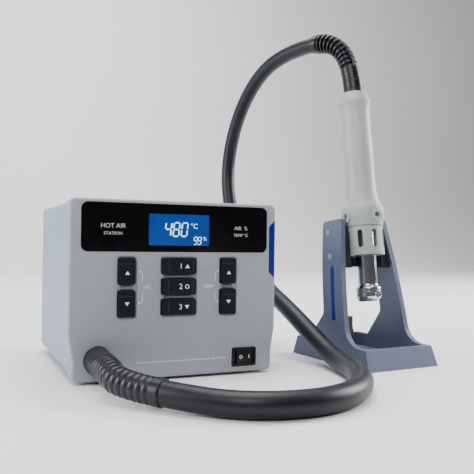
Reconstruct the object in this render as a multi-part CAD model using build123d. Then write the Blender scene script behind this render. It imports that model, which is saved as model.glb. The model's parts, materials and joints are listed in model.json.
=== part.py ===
"""Hot air station: desk unit with keys, display and blower, hot air handset, hose and holder stand.

Millimetres, +Z up. The front panel faces -Y. The holder stand is on the right, and the handset
hangs in it. The pieces are drawn about the middle of the desk unit's footprint. The whole is then
moved so that the origin is the middle of the footprint of desk unit and stand, on the table.
"""
from build123d import *
from math import cos, pi, radians, sin, tan
import os

# ---------------------------------------------------------------- desk unit, outside
UNIT_W = 168.0            # front bezel, left to right
UNIT_H = 136.0            # front bezel, bottom to top
UNIT_D = 170.0            # front face to rear panel
BEZEL_GAP = 2.0           # bezel's lower edge above the table
BEZEL_DEPTH = 15.0        # front moulding, front to back
BEZEL_WALL = 3.0          # front wall
BEZEL_RIM = 2.5           # side walls of the moulding
BEZEL_CORNER = 5.0
BEZEL_EDGE = 2.2          # rounding of the front edge
JOG_INSET = 3.0           # the sides step in this much near the table
JOG_LOW = 16.0            # step, lower and upper height over the bezel's bottom
JOG_HIGH = 35.0
CASE_LIFT = 8.0           # steel case above the table, which is the feet's height
CASE_DROP = 2.0           # case top under the bezel top
SHEET = 1.0               # steel cover
TRAY_SHEET = 1.5          # chassis tray and rear panel

# ---------------------------------------------------------------- front panel
WINDOW_W = 151.0
WINDOW_H = 36.6
WINDOW_Z = 116.9          # window centre above the table
WINDOW_T = 2.0
WINDOW_CORNER = 4.8
LCD_W = 49.0
LCD_H = 24.2
LCD_Z = 115.6
LCD_T = 5.0
FIT = 0.15                # clearance of a piece set into another
BOARD_BACK = 9.0          # display board, behind the front face
BOARD_T = 1.6
KEY_GAP = 0.35            # gap round a key
KEY_OUT = 2.4             # keys stand out of the panel
KEY_TRAVEL = 0.8
KEY_LIP = 1.0             # retaining lip of a key behind the panel
KEY_WELL = 0.6            # shallow well round each column of keys
WELL_EDGE = 1.2           # the well is this much larger than its keys
STEP_KEY_W = 13.3         # the up and down keys
STEP_KEY_H = 20.2
STEP_KEY_X = 41.15        # their columns, left and right of the middle
STEP_KEY_Z = 71.55        # middle of a column above the table
STEP_KEY_PITCH = 24.5
BANK_KEY_W = 27.8         # the three numbered keys
BANK_KEY_H = 12.6
BANK_KEY_Z = 71.8
BANK_KEY_PITCH = 15.75
TACT = 6.0                # push switch behind each key
TACT_GAP = 0.1            # spare beyond the travel
SWITCH_W = 21.0           # mains rocker switch
SWITCH_H = 15.0
SWITCH_X = 56.0
SWITCH_Z = 14.4
SWITCH_FLANGE = 1.8
SWITCH_DEPTH = 14.0
ROCKER_TILT = 9.0         # degrees either side of level
ROCKER_PIN = 1.2
OUTLET_X = -62.0          # hose outlet
OUTLET_Z = 18.0
TRIM_W = 6.2              # coloured strip on the right edge
TRIM_LOW = 75.5           # ends of the strip above the table
TRIM_HIGH = 127.0
TRIM_DEPTH = 0.8

# ---------------------------------------------------------------- inside the desk unit
FAN_X = -30.0
FAN_Y = 34.0
FAN_R = 30.0              # impeller
FAN_SCROLL = 38.0         # inside of the blower housing
FAN_WALL = 2.0
FAN_H = 30.0
BLADES = 16
MOTOR_R = 14.0
MOTOR_H = 40.0
SHAFT_R = 2.0
RUNNING = 0.05            # radial clearance of a turning shaft or pin
DUCT_R = 6.5              # inside of the air duct
DUCT_WALL = 1.2
CORE_W = 58.0             # transformer
CORE_D = 38.0
CORE_H = 48.0
CORE_X = 44.0
CORE_Y = 42.0
MAIN_W = 64.0             # control board
MAIN_D = 72.0
MAIN_X = 45.0
MAIN_Y = -22.0
STANDOFF = 6.0
INLET_W = 31.0            # mains inlet flange
INLET_H = 24.0
INLET_X = 48.0
INLET_Z = 34.0
FUSE_R = 6.5
FUSE_X = 16.0

# ---------------------------------------------------------------- hose
HOSE_D = 16.0
# The hose's route from the desk unit's boot to the handset's boot, counted from the final origin.
HOSE_ROUTE = [
    (-112, -158, 10.6), (-88, -188, 8.7), (-54, -205, 8.6), (-14, -204, 8.6), (22, -181, 8.6),
    (52, -132, 8.6), (62, -79, 9), (57, -14, 42), (57, 55, 66), (55, 117, 118),
    (55, 147, 181), (60, 132, 246), (69, 89, 292), (84, 44, 307), (94, 15, 306),
]
UNIT_BOOT_R = 10.7        # strain relief boots: radius at the root and at the hose end
UNIT_BOOT_END_R = 9.3
HAND_BOOT_R = 9.4
HAND_BOOT_END_R = 8.9
BOOT_BORE = 5.0           # air way through both boots

# ---------------------------------------------------------------- holder stand
STAND_X = 194.1           # middle of its front lower edge
STAND_Y = -114.6
STAND_TURN = 5.0          # degrees, seen from above
BASE_W = 78.0
BASE_D = 113.0
BASE_H = 17.3
BASE_FRONT_SLOPE = 6.7    # how far each face leans in at the top
BASE_REAR_SLOPE = 4.8
BASE_SIDE_SLOPE = 1.7
BASE_WALL = 5.0
BASE_FLOOR = 5.0
WALL_T = 5.0              # the two uprights
WALL_TOP = 130.0
WALL_HALF = (37.3, 33.5, 25.7)       # outer half width at the foot, middle and top
WALL_MID_Z = 78.5
WALL_FRONT = (34.5, 56.6)            # front edge: y at the bend over the base, y at the top
WALL_REAR = (67.5, 43.0, 83.2)
FOOT_FRONT = 9.0                     # where the uprights run into the base
FOOT_REAR = 88.0
CRADLE_LOW = 85.0
CRADLE_HIGH = 122.5
CRADLE_LINING = 2.4
STRIPE_W = 5.2
STRIPE_LOW = 38.0
STRIPE_HIGH = 88.0
PEG_R = 2.4
PEG_X = 3.0
PEG_Y = 78.0
PEG_H = 37.6

# ---------------------------------------------------------------- handset, along its own axis
AXIS_FOOT = 39.4          # where the axis meets the table, behind the stand's front edge
LEAN = 7.8                # degrees, top to the rear
NOZZLE_END = 55.0         # heights along the axis, from the table
CLAMP_TOP = 70.3
GUARD_LOW = 97.0
GUARD_HIGH = 123.6
COLLAR_WIDE = 134.5
COLLAR_HIGH = 140.5
GRIP_LOW = 157.0
GRIP_HIGH = 227.0
CAP_LOW = 241.5
CAP_HIGH = 252.0
BARREL_R = 9.4
BARREL_WALL = 0.8
CLAMP_R = 12.2
GUARD_R = 17.25
GUARD_WALL = 2.0
SLOTS = 8
SLOT_W = 4.8
SLOT_H = 16.5
SLOT_TURN = -8.0
COLLAR_R = 20.1
BOSS_R = 5.4
GRIP_LOW_R = 14.4
GRIP_HIGH_R = 13.7
CAP_R = 15.65
GRIP_WALL = 2.2
SEAM_TURN = -48.0         # the two halves of the grip meet here
HEATER_R = 8.0

FRONT = -UNIT_D / 2
REAR = UNIT_D / 2
CASE_W = UNIT_W - 2 * JOG_INSET
CASE_TOP = BEZEL_GAP + UNIT_H - CASE_DROP
CASE_FRONT = FRONT + BEZEL_DEPTH
TRAY_TOP = CASE_LIFT + TRAY_SHEET
BOARD_FRONT = FRONT + BOARD_BACK
KEY_BACK = FRONT + BEZEL_WALL + KEY_LIP

STAND = Location((STAND_X, STAND_Y, 0), (0, 0, STAND_TURN))
HANDSET = STAND * Location((0, AXIS_FOOT, 0), (-LEAN, 0, 0))

parts = {}


def block(x0, x1, y0, y1, z0, z1):
    """A box between two corners."""
    return Pos((x0 + x1) / 2, (y0 + y1) / 2, (z0 + z1) / 2) * Box(x1 - x0, y1 - y0, z1 - z0)


def upright_plate(sketch, y0, y1):
    """A sketch drawn as (x, z) turned to stand upright, from y0 to y1."""
    plane = Plane(origin=(0, y1, 0), x_dir=(1, 0, 0), z_dir=(0, -1, 0))
    return extrude(plane * sketch, y1 - y0)


def side_plate(sketch, x0, x1):
    """A sketch drawn as (y, z), from x0 to x1."""
    plane = Plane(origin=(x0, 0, 0), x_dir=(0, 1, 0), z_dir=(1, 0, 0))
    return extrude(plane * sketch, x1 - x0)


def outline(points):
    """A closed flat shape with straight sides."""
    return make_face(Polyline(*points, close=True))


def turned(points):
    """A turned piece: (radius, height) points revolved about Z."""
    return revolve(Plane.XZ * outline(points), Axis.Z)


def rod_y(radius, x, z, y0, y1):
    """A round rod along Y."""
    return Pos(x, (y0 + y1) / 2, z) * Rot(90, 0, 0) * Cylinder(radius, y1 - y0)


def rod_x(radius, y, z, x0, x1):
    """A round rod along X."""
    return Pos((x0 + x1) / 2, y, z) * Rot(0, 90, 0) * Cylinder(radius, x1 - x0)


def post(radius, x, y, z0, z1):
    """A round post along Z."""
    return Pos(x, y, (z0 + z1) / 2) * Cylinder(radius, z1 - z0)


def joined(shapes):
    """One solid from pieces that touch."""
    result = shapes[0]
    for shape in shapes[1:]:
        result = result + shape
    return result


def save(name, *solids):
    """Keep a piece, or a group of separate like pieces, under its node's name."""
    flat = []
    for shape in solids:
        flat.extend(shape.solids())
    piece = flat[0] if len(flat) == 1 else Compound(children=flat)
    piece.label = name
    parts[name] = piece


# ================================================================ front panel
def key_layout():
    """Name, middle x, middle z, width and height of every key."""
    keys = []
    for side, column in ((-1, "air"), (1, "temp")):
        for up, word in ((1, "up"), (-1, "down")):
            z = STEP_KEY_Z + up * STEP_KEY_PITCH / 2
            keys.append((f"key_{column}_{word}", side * STEP_KEY_X, z, STEP_KEY_W, STEP_KEY_H))
    for row in range(3):
        z = BANK_KEY_Z + (1 - row) * BANK_KEY_PITCH
        keys.append((f"key_{row + 1}", 0.0, z, BANK_KEY_W, BANK_KEY_H))
    return keys


def key_wells():
    """Middle x, middle z, width and height of the well of each column of keys."""
    step_h = STEP_KEY_PITCH + STEP_KEY_H + 2 * WELL_EDGE
    bank_h = 2 * BANK_KEY_PITCH + BANK_KEY_H + 2 * WELL_EDGE
    return [
        (-STEP_KEY_X, STEP_KEY_Z, STEP_KEY_W + 2 * WELL_EDGE, step_h),
        (STEP_KEY_X, STEP_KEY_Z, STEP_KEY_W + 2 * WELL_EDGE, step_h),
        (0.0, BANK_KEY_Z, BANK_KEY_W + 2 * WELL_EDGE, bank_h),
    ]


def bezel_outline(shrink=0.0):
    """The front view: straight sides that step in near the table."""
    half = UNIT_W / 2 - shrink
    low = BEZEL_GAP + shrink
    high = BEZEL_GAP + UNIT_H - shrink
    step_low = BEZEL_GAP + JOG_LOW
    step_high = BEZEL_GAP + JOG_HIGH
    narrow = half - JOG_INSET
    right = [(narrow, low), (narrow, step_low), (half, step_high), (half, high)]
    left = [(-x, z) for x, z in reversed(right)]
    face = outline(right + left)
    steps = [v for v in face.vertices() if step_low - 1 < v.Y < step_high + 1]
    face = fillet(steps, 14.0)
    ends = [v for v in face.vertices() if v.Y < low + 0.1 or v.Y > high - 0.1]
    return fillet(ends, max(BEZEL_CORNER - shrink, 1.0))


def trim_profile(grow=0.0):
    """Front view of the coloured strip: a bar on the right edge, its ends cut at 45 degrees."""
    x1 = UNIT_W / 2 + 1
    x0 = UNIT_W / 2 - TRIM_W - grow
    low = TRIM_LOW - grow
    high = TRIM_HIGH + grow
    slant = x1 - x0
    return outline([(x0, low + slant), (x1, low), (x1, high), (x0, high - slant)])


def make_bezel():
    body = upright_plate(bezel_outline(), FRONT, CASE_FRONT)
    body = fillet(body.faces().sort_by(Axis.Y)[0].edges(), BEZEL_EDGE)
    body = body - upright_plate(bezel_outline(BEZEL_RIM), FRONT + BEZEL_WALL, CASE_FRONT + 1)
    window = RectangleRounded(WINDOW_W + 2 * FIT, WINDOW_H + 2 * FIT, WINDOW_CORNER + FIT)
    body = body - upright_plate(Pos(0, WINDOW_Z) * window, FRONT - 1, FRONT + WINDOW_T)
    lcd_hole = Rectangle(LCD_W + 2 * FIT, LCD_H + 2 * FIT)
    body = body - upright_plate(Pos(0, LCD_Z) * lcd_hole, FRONT - 1, FRONT + BEZEL_WALL + 1)
    for x, z, w, h in key_wells():
        well = RectangleRounded(w, h, 2.6)
        body = body - upright_plate(Pos(x, z) * well, FRONT - 1, FRONT + KEY_WELL)
    for _, x, z, w, h in key_layout():
        hole = RectangleRounded(w + 2 * KEY_GAP, h + 2 * KEY_GAP, 1.9)
        body = body - upright_plate(Pos(x, z) * hole, FRONT - 1, FRONT + BEZEL_WALL + 1)
    hole_w = SWITCH_W - 2.0 + 2 * FIT
    hole_h = SWITCH_H - 2.0 + 2 * FIT
    hole = Pos(SWITCH_X, SWITCH_Z) * Rectangle(hole_w, hole_h)
    body = body - upright_plate(hole, FRONT - 1, FRONT + BEZEL_WALL + 1)
    body = body - rod_y(DUCT_R + DUCT_WALL + FIT, OUTLET_X, OUTLET_Z, FRONT - 1, FRONT + BEZEL_WALL + 1)
    full = upright_plate(trim_profile(FIT), FRONT - 1, CASE_FRONT + 1)
    core = upright_plate(bezel_outline(TRIM_DEPTH), FRONT + TRIM_DEPTH, CASE_FRONT + 1)
    body = body - (full - core)
    save("front_bezel", body)


def make_trim():
    skin = upright_plate(bezel_outline(), FRONT, CASE_FRONT)
    skin = fillet(skin.faces().sort_by(Axis.Y)[0].edges(), BEZEL_EDGE)
    skin = skin - upright_plate(bezel_outline(TRIM_DEPTH), FRONT + TRIM_DEPTH, CASE_FRONT + 1)
    save("edge_trim", skin & upright_plate(trim_profile(), FRONT - 1, CASE_FRONT))


def make_window():
    plate = RectangleRounded(WINDOW_W, WINDOW_H, WINDOW_CORNER)
    body = upright_plate(Pos(0, WINDOW_Z) * plate, FRONT - 0.3, FRONT + WINDOW_T)
    hole = Rectangle(LCD_W + 2 * FIT, LCD_H + 2 * FIT)
    body = body - upright_plate(Pos(0, LCD_Z) * hole, FRONT - 1, FRONT + WINDOW_T + 1)
    save("display_window", body)


def make_display():
    glass = upright_plate(Pos(0, LCD_Z) * Rectangle(LCD_W, LCD_H), FRONT, FRONT + BEZEL_WALL)
    frame = upright_plate(Pos(0, LCD_Z) * Rectangle(LCD_W + 8, LCD_H + 8),
                          FRONT + BEZEL_WALL, FRONT + BEZEL_WALL + LCD_T)
    save("lcd_module", glass + frame)
    board_w = 2 * STEP_KEY_X + STEP_KEY_W + 20
    low = BANK_KEY_Z - BANK_KEY_PITCH - BANK_KEY_H
    high = LCD_Z + LCD_H / 2 + 6
    board = block(-board_w / 2, board_w / 2, BOARD_FRONT, BOARD_FRONT + BOARD_T, low, high)
    spacer_gap = LCD_W / 2 + 3
    spacers = []
    for side in (-1, 1):
        spacers.append(rod_y(2.5, side * spacer_gap, LCD_Z, FRONT + BEZEL_WALL + LCD_T, BOARD_FRONT))
    for side in (-1, 1):
        for z in (low + 5, high - 5):
            x = side * (board_w / 2 - 5)
            board = board - rod_y(1.6, x, z, BOARD_FRONT - 1, BOARD_FRONT + BOARD_T + 1)
            spacers.append(rod_y(3.0, x, z, FRONT + BEZEL_WALL, BOARD_FRONT)
                           - rod_y(1.3, x, z, FRONT + BEZEL_WALL, BOARD_FRONT))
    save("display_board", board)
    return spacers


def make_keys():
    switches = []
    for name, x, z, w, h in key_layout():
        cap = upright_plate(Pos(x, z) * RectangleRounded(w, h, 1.6), FRONT - KEY_OUT, KEY_BACK)
        front = cap.faces().sort_by(Axis.Y)[0]
        cap = fillet(front.edges(), 0.9)
        lip = upright_plate(Pos(x, z) * Rectangle(w + 2 * KEY_LIP, h + 2 * KEY_LIP),
                            FRONT + BEZEL_WALL, KEY_BACK)
        save(name, cap + lip)
        tip = KEY_BACK + KEY_TRAVEL + TACT_GAP
        body = block(x - TACT / 2, x + TACT / 2, tip + 0.8, BOARD_FRONT, z - TACT / 2, z + TACT / 2)
        switches.append(body + rod_y(1.6, x, z, tip, tip + 0.9))
    save("key_switches", *switches)


def make_rocker_switch():
    x, z = SWITCH_X, SWITCH_Z
    body_w = SWITCH_W - 2.0
    body_h = SWITCH_H - 2.0
    flange = RectangleRounded(SWITCH_W, SWITCH_H, 1.0)
    housing = upright_plate(Pos(x, z) * flange, FRONT - SWITCH_FLANGE, FRONT)
    housing = fillet(housing.faces().sort_by(Axis.Y)[0].edges(), 0.5)
    housing = housing + block(x - body_w / 2, x + body_w / 2, FRONT, FRONT + SWITCH_DEPTH,
                              z - body_h / 2, z + body_h / 2)
    pocket_w = body_w - 2.0
    pocket_h = body_h - 2.0
    housing = housing - block(x - pocket_w / 2, x + pocket_w / 2, FRONT - 3, FRONT + 8,
                              z - pocket_h / 2, z + pocket_h / 2)
    pivot_y = FRONT + 3.0
    housing = housing - post(ROCKER_PIN + RUNNING, x, pivot_y, z - pocket_h / 2 - 0.8, z + pocket_h / 2 + 0.8)
    tabs = [block(x - 3 + 6 * i - 0.4, x - 3 + 6 * i + 0.4, FRONT + SWITCH_DEPTH,
                  FRONT + SWITCH_DEPTH + 7, z - 3, z + 3) for i in range(2)]
    save("switch_housing", housing)
    # The rocker is drawn level, then pressed in on the right, where it is switched on.
    proud = 4.4
    tilt = radians(ROCKER_TILT)
    half = (pocket_w / 2 - 0.2 - proud * sin(tilt)) / cos(tilt)
    face = outline([(-half, -proud), (0, 1.2 - proud), (half, -proud), (half - 0.5, 0.6),
                    (2.4, 2.6), (-2.4, 2.6), (-half + 0.5, 0.6)])
    rocker = extrude(face, (pocket_h - 0.5) / 2, both=True)
    rocker = rocker + Cylinder(ROCKER_PIN, pocket_h + 1.2)
    save("switch_rocker", Pos(x, pivot_y, z) * Rot(0, 0, ROCKER_TILT) * rocker)
    return tabs


# ================================================================ case
def foot_places():
    return [(sx * (CASE_W / 2 - 24), sy * (UNIT_D / 2 - 28)) for sx in (-1, 1) for sy in (-1, 1)]


def side_screw_places():
    """Y and z of the cover's screws on each side."""
    return [(CASE_FRONT + 7, TRAY_TOP + 5), (REAR - 12, TRAY_TOP + 5)]


def rear_screw_places():
    return [(sx * (CASE_W / 2 - 9), z) for sx in (-1, 1) for z in (TRAY_TOP + 34, CASE_TOP - 10)]


def make_case():
    half = CASE_W / 2
    cover = block(-half, half, CASE_FRONT, REAR, CASE_LIFT, CASE_TOP)
    cover = fillet(cover.edges().filter_by(Axis.Y).group_by(Axis.Z)[-1], 2.0)
    cover = cover - block(-half + SHEET, half - SHEET, CASE_FRONT - 1, REAR + 1, CASE_LIFT - 1,
                          CASE_TOP - SHEET)
    inner = half - SHEET
    tray = block(-inner, inner, CASE_FRONT, REAR - TRAY_SHEET, CASE_LIFT, TRAY_TOP)
    for side in (-1, 1):
        x0, x1 = sorted((side * inner, side * (inner - TRAY_SHEET)))
        tray = tray + block(x0, x1, CASE_FRONT, REAR - TRAY_SHEET, TRAY_TOP, TRAY_TOP + 12)
    front_wall = block(-inner, inner, CASE_FRONT, CASE_FRONT + TRAY_SHEET, TRAY_TOP, CASE_TOP - SHEET)
    front_wall = front_wall - block(-inner + 12, inner - 12, CASE_FRONT - 1, CASE_FRONT + 3,
                                    TRAY_TOP + 34, CASE_TOP - 12)
    duct_hole = rod_y(DUCT_R + DUCT_WALL + FIT, OUTLET_X, OUTLET_Z, CASE_FRONT - 1, CASE_FRONT + 3)
    front_wall = front_wall - duct_hole
    front_wall = front_wall - block(SWITCH_X - 12, SWITCH_X + 12, CASE_FRONT - 1, CASE_FRONT + 3,
                                    SWITCH_Z - 4.9, SWITCH_Z + 12)
    tray = tray + front_wall
    rear = block(-inner, inner, REAR - TRAY_SHEET, REAR, CASE_LIFT, CASE_TOP - SHEET)
    rear = rear - block(INLET_X - 13.5, INLET_X + 13.5, REAR - 3, REAR + 1, INLET_Z - 10, INLET_Z + 10)
    rear = rear - rod_y(FUSE_R - 0.5 + FIT, FUSE_X, INLET_Z, REAR - 3, REAR + 1)
    for i in range(9):
        z = 66 + 6 * i
        slot = Pos(0, z) * SlotOverall(70, 2.4)
        rear = rear - upright_plate(slot, REAR - 3, REAR + 1)
    screws = []
    for y, z in side_screw_places():
        for side in (-1, 1):
            cover = cover - rod_x(1.6, y, z, side * half - 2, side * half + 2)
            tray = tray - rod_x(1.5, y, z, side * inner - 3, side * inner + 3)
            head = turned([(0, 0), (2.9, 0), (2.6, 1.2), (1.6, 1.7), (0, 1.7)])
            head = head - Pos(0, 0, 1.5) * Box(3.4, 0.6, 1.2) - Pos(0, 0, 1.5) * Box(0.6, 3.4, 1.2)
            shank = Pos(0, 0, -2.5) * Cylinder(1.5, 5)
            screws.append(Pos(side * half, y, z) * Rot(0, side * 90, 0) * (head + shank))
    for x, z in rear_screw_places():
        rear = rear - rod_y(1.6, x, z, REAR - 3, REAR + 1)
        head = turned([(0, 0), (2.9, 0), (2.6, 1.2), (1.6, 1.7), (0, 1.7)])
        head = head - Pos(0, 0, 1.5) * Box(3.4, 0.6, 1.2) - Pos(0, 0, 1.5) * Box(0.6, 3.4, 1.2)
        shank = Pos(0, 0, -3) * Cylinder(1.5, 6)
        screws.append(Pos(x, REAR, z) * Rot(-90, 0, 0) * (head + shank))
    feet = []
    foot_screws = []
    for x, y in foot_places():
        tray = tray - post(1.7, x, y, CASE_LIFT - 1, TRAY_TOP + 1)
        profile = [(2.0, 2.6), (4.0, 2.6), (4.0, 0), (6.6, 0), (7.5, CASE_LIFT), (2.0, CASE_LIFT)]
        foot = Pos(x, y, 0) * turned(profile)
        feet.append(foot)
        head = post(3.6, x, y, 0.6, 2.6)
        foot_screws.append(head + post(1.6, x, y, 2.6, TRAY_TOP))
    save("steel_cover", cover)
    save("chassis_tray", tray)
    save("rear_panel", rear)
    save("case_screws", *screws, *foot_screws)
    save("rubber_feet", *feet)


# ================================================================ inside
def make_blower():
    base_z = TRAY_TOP
    top_z = base_z + FAN_H
    outer = FAN_SCROLL + FAN_WALL
    mouth_x1 = OUTLET_X + DUCT_R + FAN_WALL
    mouth_x0 = FAN_X - outer
    mouth_y = CASE_FRONT + 34
    case = post(outer, FAN_X, FAN_Y, base_z, top_z - FAN_WALL)
    case = case + block(mouth_x0, mouth_x1, mouth_y, FAN_Y, base_z, top_z - FAN_WALL)
    hollow = post(FAN_SCROLL, FAN_X, FAN_Y, base_z + FAN_WALL, top_z)
    hollow = hollow + block(mouth_x0 + FAN_WALL, mouth_x1 - FAN_WALL, mouth_y + FAN_WALL, FAN_Y,
                            base_z + FAN_WALL, top_z)
    case = case - hollow - rod_y(DUCT_R, OUTLET_X, OUTLET_Z + 3, mouth_y - 1, mouth_y + FAN_WALL + 1)
    save("blower_housing", case)
    lid = post(outer, FAN_X, FAN_Y, top_z - FAN_WALL, top_z)
    lid = lid + block(mouth_x0, mouth_x1, mouth_y, FAN_Y, top_z - FAN_WALL, top_z)
    eye = post(FAN_R - 8, FAN_X, FAN_Y, top_z - 3, top_z + 1)
    eye = eye - post(MOTOR_R + 3, FAN_X, FAN_Y, top_z - 3, top_z + 1)
    for turn in (0, 120, 240):
        eye = eye - Pos(FAN_X, FAN_Y, top_z) * Rot(0, 0, turn) * Pos(20, 0, 0) * Box(24, 6, 8)
    lid = lid - eye - post(MOTOR_R + RUNNING, FAN_X, FAN_Y, top_z - 3, top_z + 1)
    save("blower_lid", lid)
    motor_low = top_z - 8
    motor = post(MOTOR_R, FAN_X, FAN_Y, motor_low, motor_low + MOTOR_H)
    motor = motor - post(SHAFT_R + RUNNING, FAN_X, FAN_Y, motor_low - 1, motor_low + 25)
    save("blower_motor", motor)
    hub_low = base_z + FAN_WALL + 2
    disc = post(FAN_R, FAN_X, FAN_Y, hub_low, hub_low + 1.6) + post(5, FAN_X, FAN_Y, hub_low, motor_low - 1)
    blade = Pos(FAN_R - 5.5, 0, 0) * Rot(0, 0, 35) * Box(9, 1.2, 18)
    wheel = disc
    for i in range(BLADES):
        wheel = wheel + Pos(FAN_X, FAN_Y, hub_low + 10) * Rot(0, 0, 360 * i / BLADES) * blade
    wheel = wheel - post(SHAFT_R, FAN_X, FAN_Y, hub_low - 1, motor_low)
    save("blower_impeller", wheel)
    save("motor_shaft", post(SHAFT_R, FAN_X, FAN_Y, hub_low, motor_low + 24))
    # The duct runs from the blower's mouth, down a little, to the outlet in the front panel.
    low = Vector(OUTLET_X, FRONT, OUTLET_Z)
    high = Vector(OUTLET_X, mouth_y, OUTLET_Z + 3)
    line = FilletPolyline(low, (OUTLET_X, CASE_FRONT + 6, OUTLET_Z),
                          (OUTLET_X, mouth_y - 10, OUTLET_Z + 3), high,
                          radius=20)
    ring = Plane(origin=low, z_dir=(0, 1, 0))
    duct = sweep(ring * Circle(DUCT_R + DUCT_WALL), line) - sweep(ring * Circle(DUCT_R), line)
    save("air_duct", duct)


def make_transformer():
    z0 = TRAY_TOP
    x0, x1 = CORE_X - CORE_W / 2, CORE_X + CORE_W / 2
    y0, y1 = CORE_Y - CORE_D / 2 + 6, CORE_Y + CORE_D / 2 - 6
    core = block(x0, x1, y0, y1, z0, z0 + CORE_H)
    limb = CORE_W / 6
    windows = []
    for side in (-1, 1):
        xa, xb = sorted((CORE_X + side * limb, CORE_X + side * 2 * limb))
        windows.append(block(xa, xb, y0 - 1, y1 + 1, z0 + limb, z0 + CORE_H - limb))
        core = core - windows[-1]
    save("transformer_core", core)
    coil = block(CORE_X - 2 * limb + 0.3, CORE_X + 2 * limb - 0.3, y0 - 6, y1 + 6,
                 z0 + limb + 0.3, z0 + CORE_H - limb - 0.3)
    coil = fillet(coil.edges().filter_by(Axis.Z), 4.0)
    coil = coil - block(CORE_X - limb - 0.2, CORE_X + limb + 0.2, y0 - 0.2, y1 + 0.2, z0, z0 + CORE_H)
    save("transformer_coil", coil)


def make_control_board(display_spacers):
    x0, x1 = MAIN_X - MAIN_W / 2, MAIN_X + MAIN_W / 2
    y0, y1 = MAIN_Y - MAIN_D / 2, MAIN_Y + MAIN_D / 2
    z0 = TRAY_TOP + STANDOFF
    z1 = z0 + BOARD_T
    board = block(x0, x1, y0, y1, z0, z1)
    spacers = []
    for x in (x0 + 5, x1 - 5):
        for y in (y0 + 5, y1 - 5):
            board = board - post(1.6, x, y, z0 - 1, z1 + 1)
            spacers.append(post(3, x, y, TRAY_TOP, z0) - post(1.4, x, y, TRAY_TOP + 1, z0 + 1))
    save("control_board", board)
    save("board_spacers", *spacers, *display_spacers)
    fins = block(x1 - 30, x1 - 8, y0 + 12, y0 + 15, z1, z1 + 30)
    for i in range(6):
        x = x1 - 29 + 4 * i
        fins = fins + block(x - 0.7, x + 0.7, y0 + 15, y0 + 25, z1, z1 + 30)
    save("heat_sink", fins)
    save("triac", block(x1 - 24, x1 - 14, y0 + 7.5, y0 + 12, z1 + 6, z1 + 22))
    chips = [block(x0 + 10, x0 + 24, y0 + 20, y0 + 34, z1, z1 + 2), post(5, x0 + 14, y1 - 12, z1, z1 + 16),
             post(5, x0 + 28, y1 - 12, z1, z1 + 16), block(x1 - 30, x1 - 14, y1 - 20, y1 - 8, z1, z1 + 15)]
    save("board_components", *chips)


def make_mains_inlet(switch_tabs):
    x, z = INLET_X, INLET_Z
    flange = upright_plate(Pos(x, z) * RectangleRounded(INLET_W, INLET_H, 3), REAR, REAR + 2.5)
    body = flange + block(x - 13.5 + FIT, x + 13.5 - FIT, REAR - 16, REAR, z - 10 + FIT, z + 10 - FIT)
    recess = fillet(Rectangle(24.4, 16.6).vertices().sort_by(Axis.Y)[2:], 4.0)
    body = body - upright_plate(Pos(x, z) * recess, REAR - 13, REAR + 3)
    pins = []
    for px, pz in ((-7, -2), (7, -2), (0, 2)):
        body = body - block(x + px - 1, x + px + 1, REAR - 17, REAR - 12, z + pz - 2, z + pz + 2)
        pins.append(block(x + px - 1, x + px + 1, REAR - 22, REAR - 3, z + pz - 2, z + pz + 2))
    save("mains_inlet", body)
    save("mains_terminals", *pins, *switch_tabs)
    tube = rod_y(FUSE_R - 0.5, FUSE_X, z, REAR - 26, REAR) - rod_y(3.2, FUSE_X, z, REAR - 24, REAR + 1)
    rim = rod_y(FUSE_R + 1.5, FUSE_X, z, REAR, REAR + 2)
    tube = tube + (rim - rod_y(FUSE_R - 1.0, FUSE_X, z, REAR - 1, REAR + 3))
    save("fuse_holder", tube)
    cap = rod_y(FUSE_R - 1.2, FUSE_X, z, REAR, REAR + 6) + rod_y(3.0, FUSE_X, z, REAR - 3, REAR)
    cap = cap - block(FUSE_X - 4, FUSE_X + 4, REAR + 5, REAR + 7, z - 0.6, z + 0.6)
    save("fuse_cap", cap)
    save("glass_fuse", rod_y(2.6, FUSE_X, z, REAR - 23, REAR - 3))


# ================================================================ hose and its boots
def smooth_path(points):
    """Straight runs joined by arcs, each as large as its two runs allow."""
    corners = [Vector(p) for p in points]
    radii = []
    for before, corner, after in zip(corners, corners[1:], corners[2:]):
        first, second = corner - before, after - corner
        half_turn = radians(first.get_angle(second)) / 2
        radii.append(0.45 * min(first.length, second.length) / tan(half_turn))
    return FilletPolyline(*corners, radius=radii), radii


def swept_tube(path, radius):
    start = Plane(origin=path @ 0, z_dir=path % 0)
    return sweep(start * Circle(radius), path)


def footprint_middle():
    """The middle of the footprint of everything made so far."""
    boxes = [piece.bounding_box() for piece in parts.values()]
    left = min(box.min.X for box in boxes)
    right = max(box.max.X for box in boxes)
    front = min(box.min.Y for box in boxes)
    rear = max(box.max.Y for box in boxes)
    return Vector((left + right) / 2, (front + rear) / 2, 0)


def placed(piece, shift):
    """A piece counted from the final origin, each of its solids moved by itself."""
    solids = [shift * solid for solid in piece.solids()]
    whole = solids[0] if len(solids) == 1 else Compound(children=solids)
    whole.label = piece.label
    return whole


def make_hose(route):
    path, radii = smooth_path(route)
    hose = swept_tube(path, HOSE_D / 2)
    expected = pi * (HOSE_D / 2) ** 2 * path.length
    print("hose length", round(path.length, 1), "radii", [round(r) for r in radii])
    print("hose volume", round(hose.volume), "of section times length", round(expected))
    save("hose", hose)


def boot_path(start, heading, end, arrival, reach):
    """A boot's centre line: straight on from its root, bent over, and out along the hose."""
    first = start + heading * reach
    last = end - arrival * reach
    path, _ = smooth_path([start, first, last, end])
    return path


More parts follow.
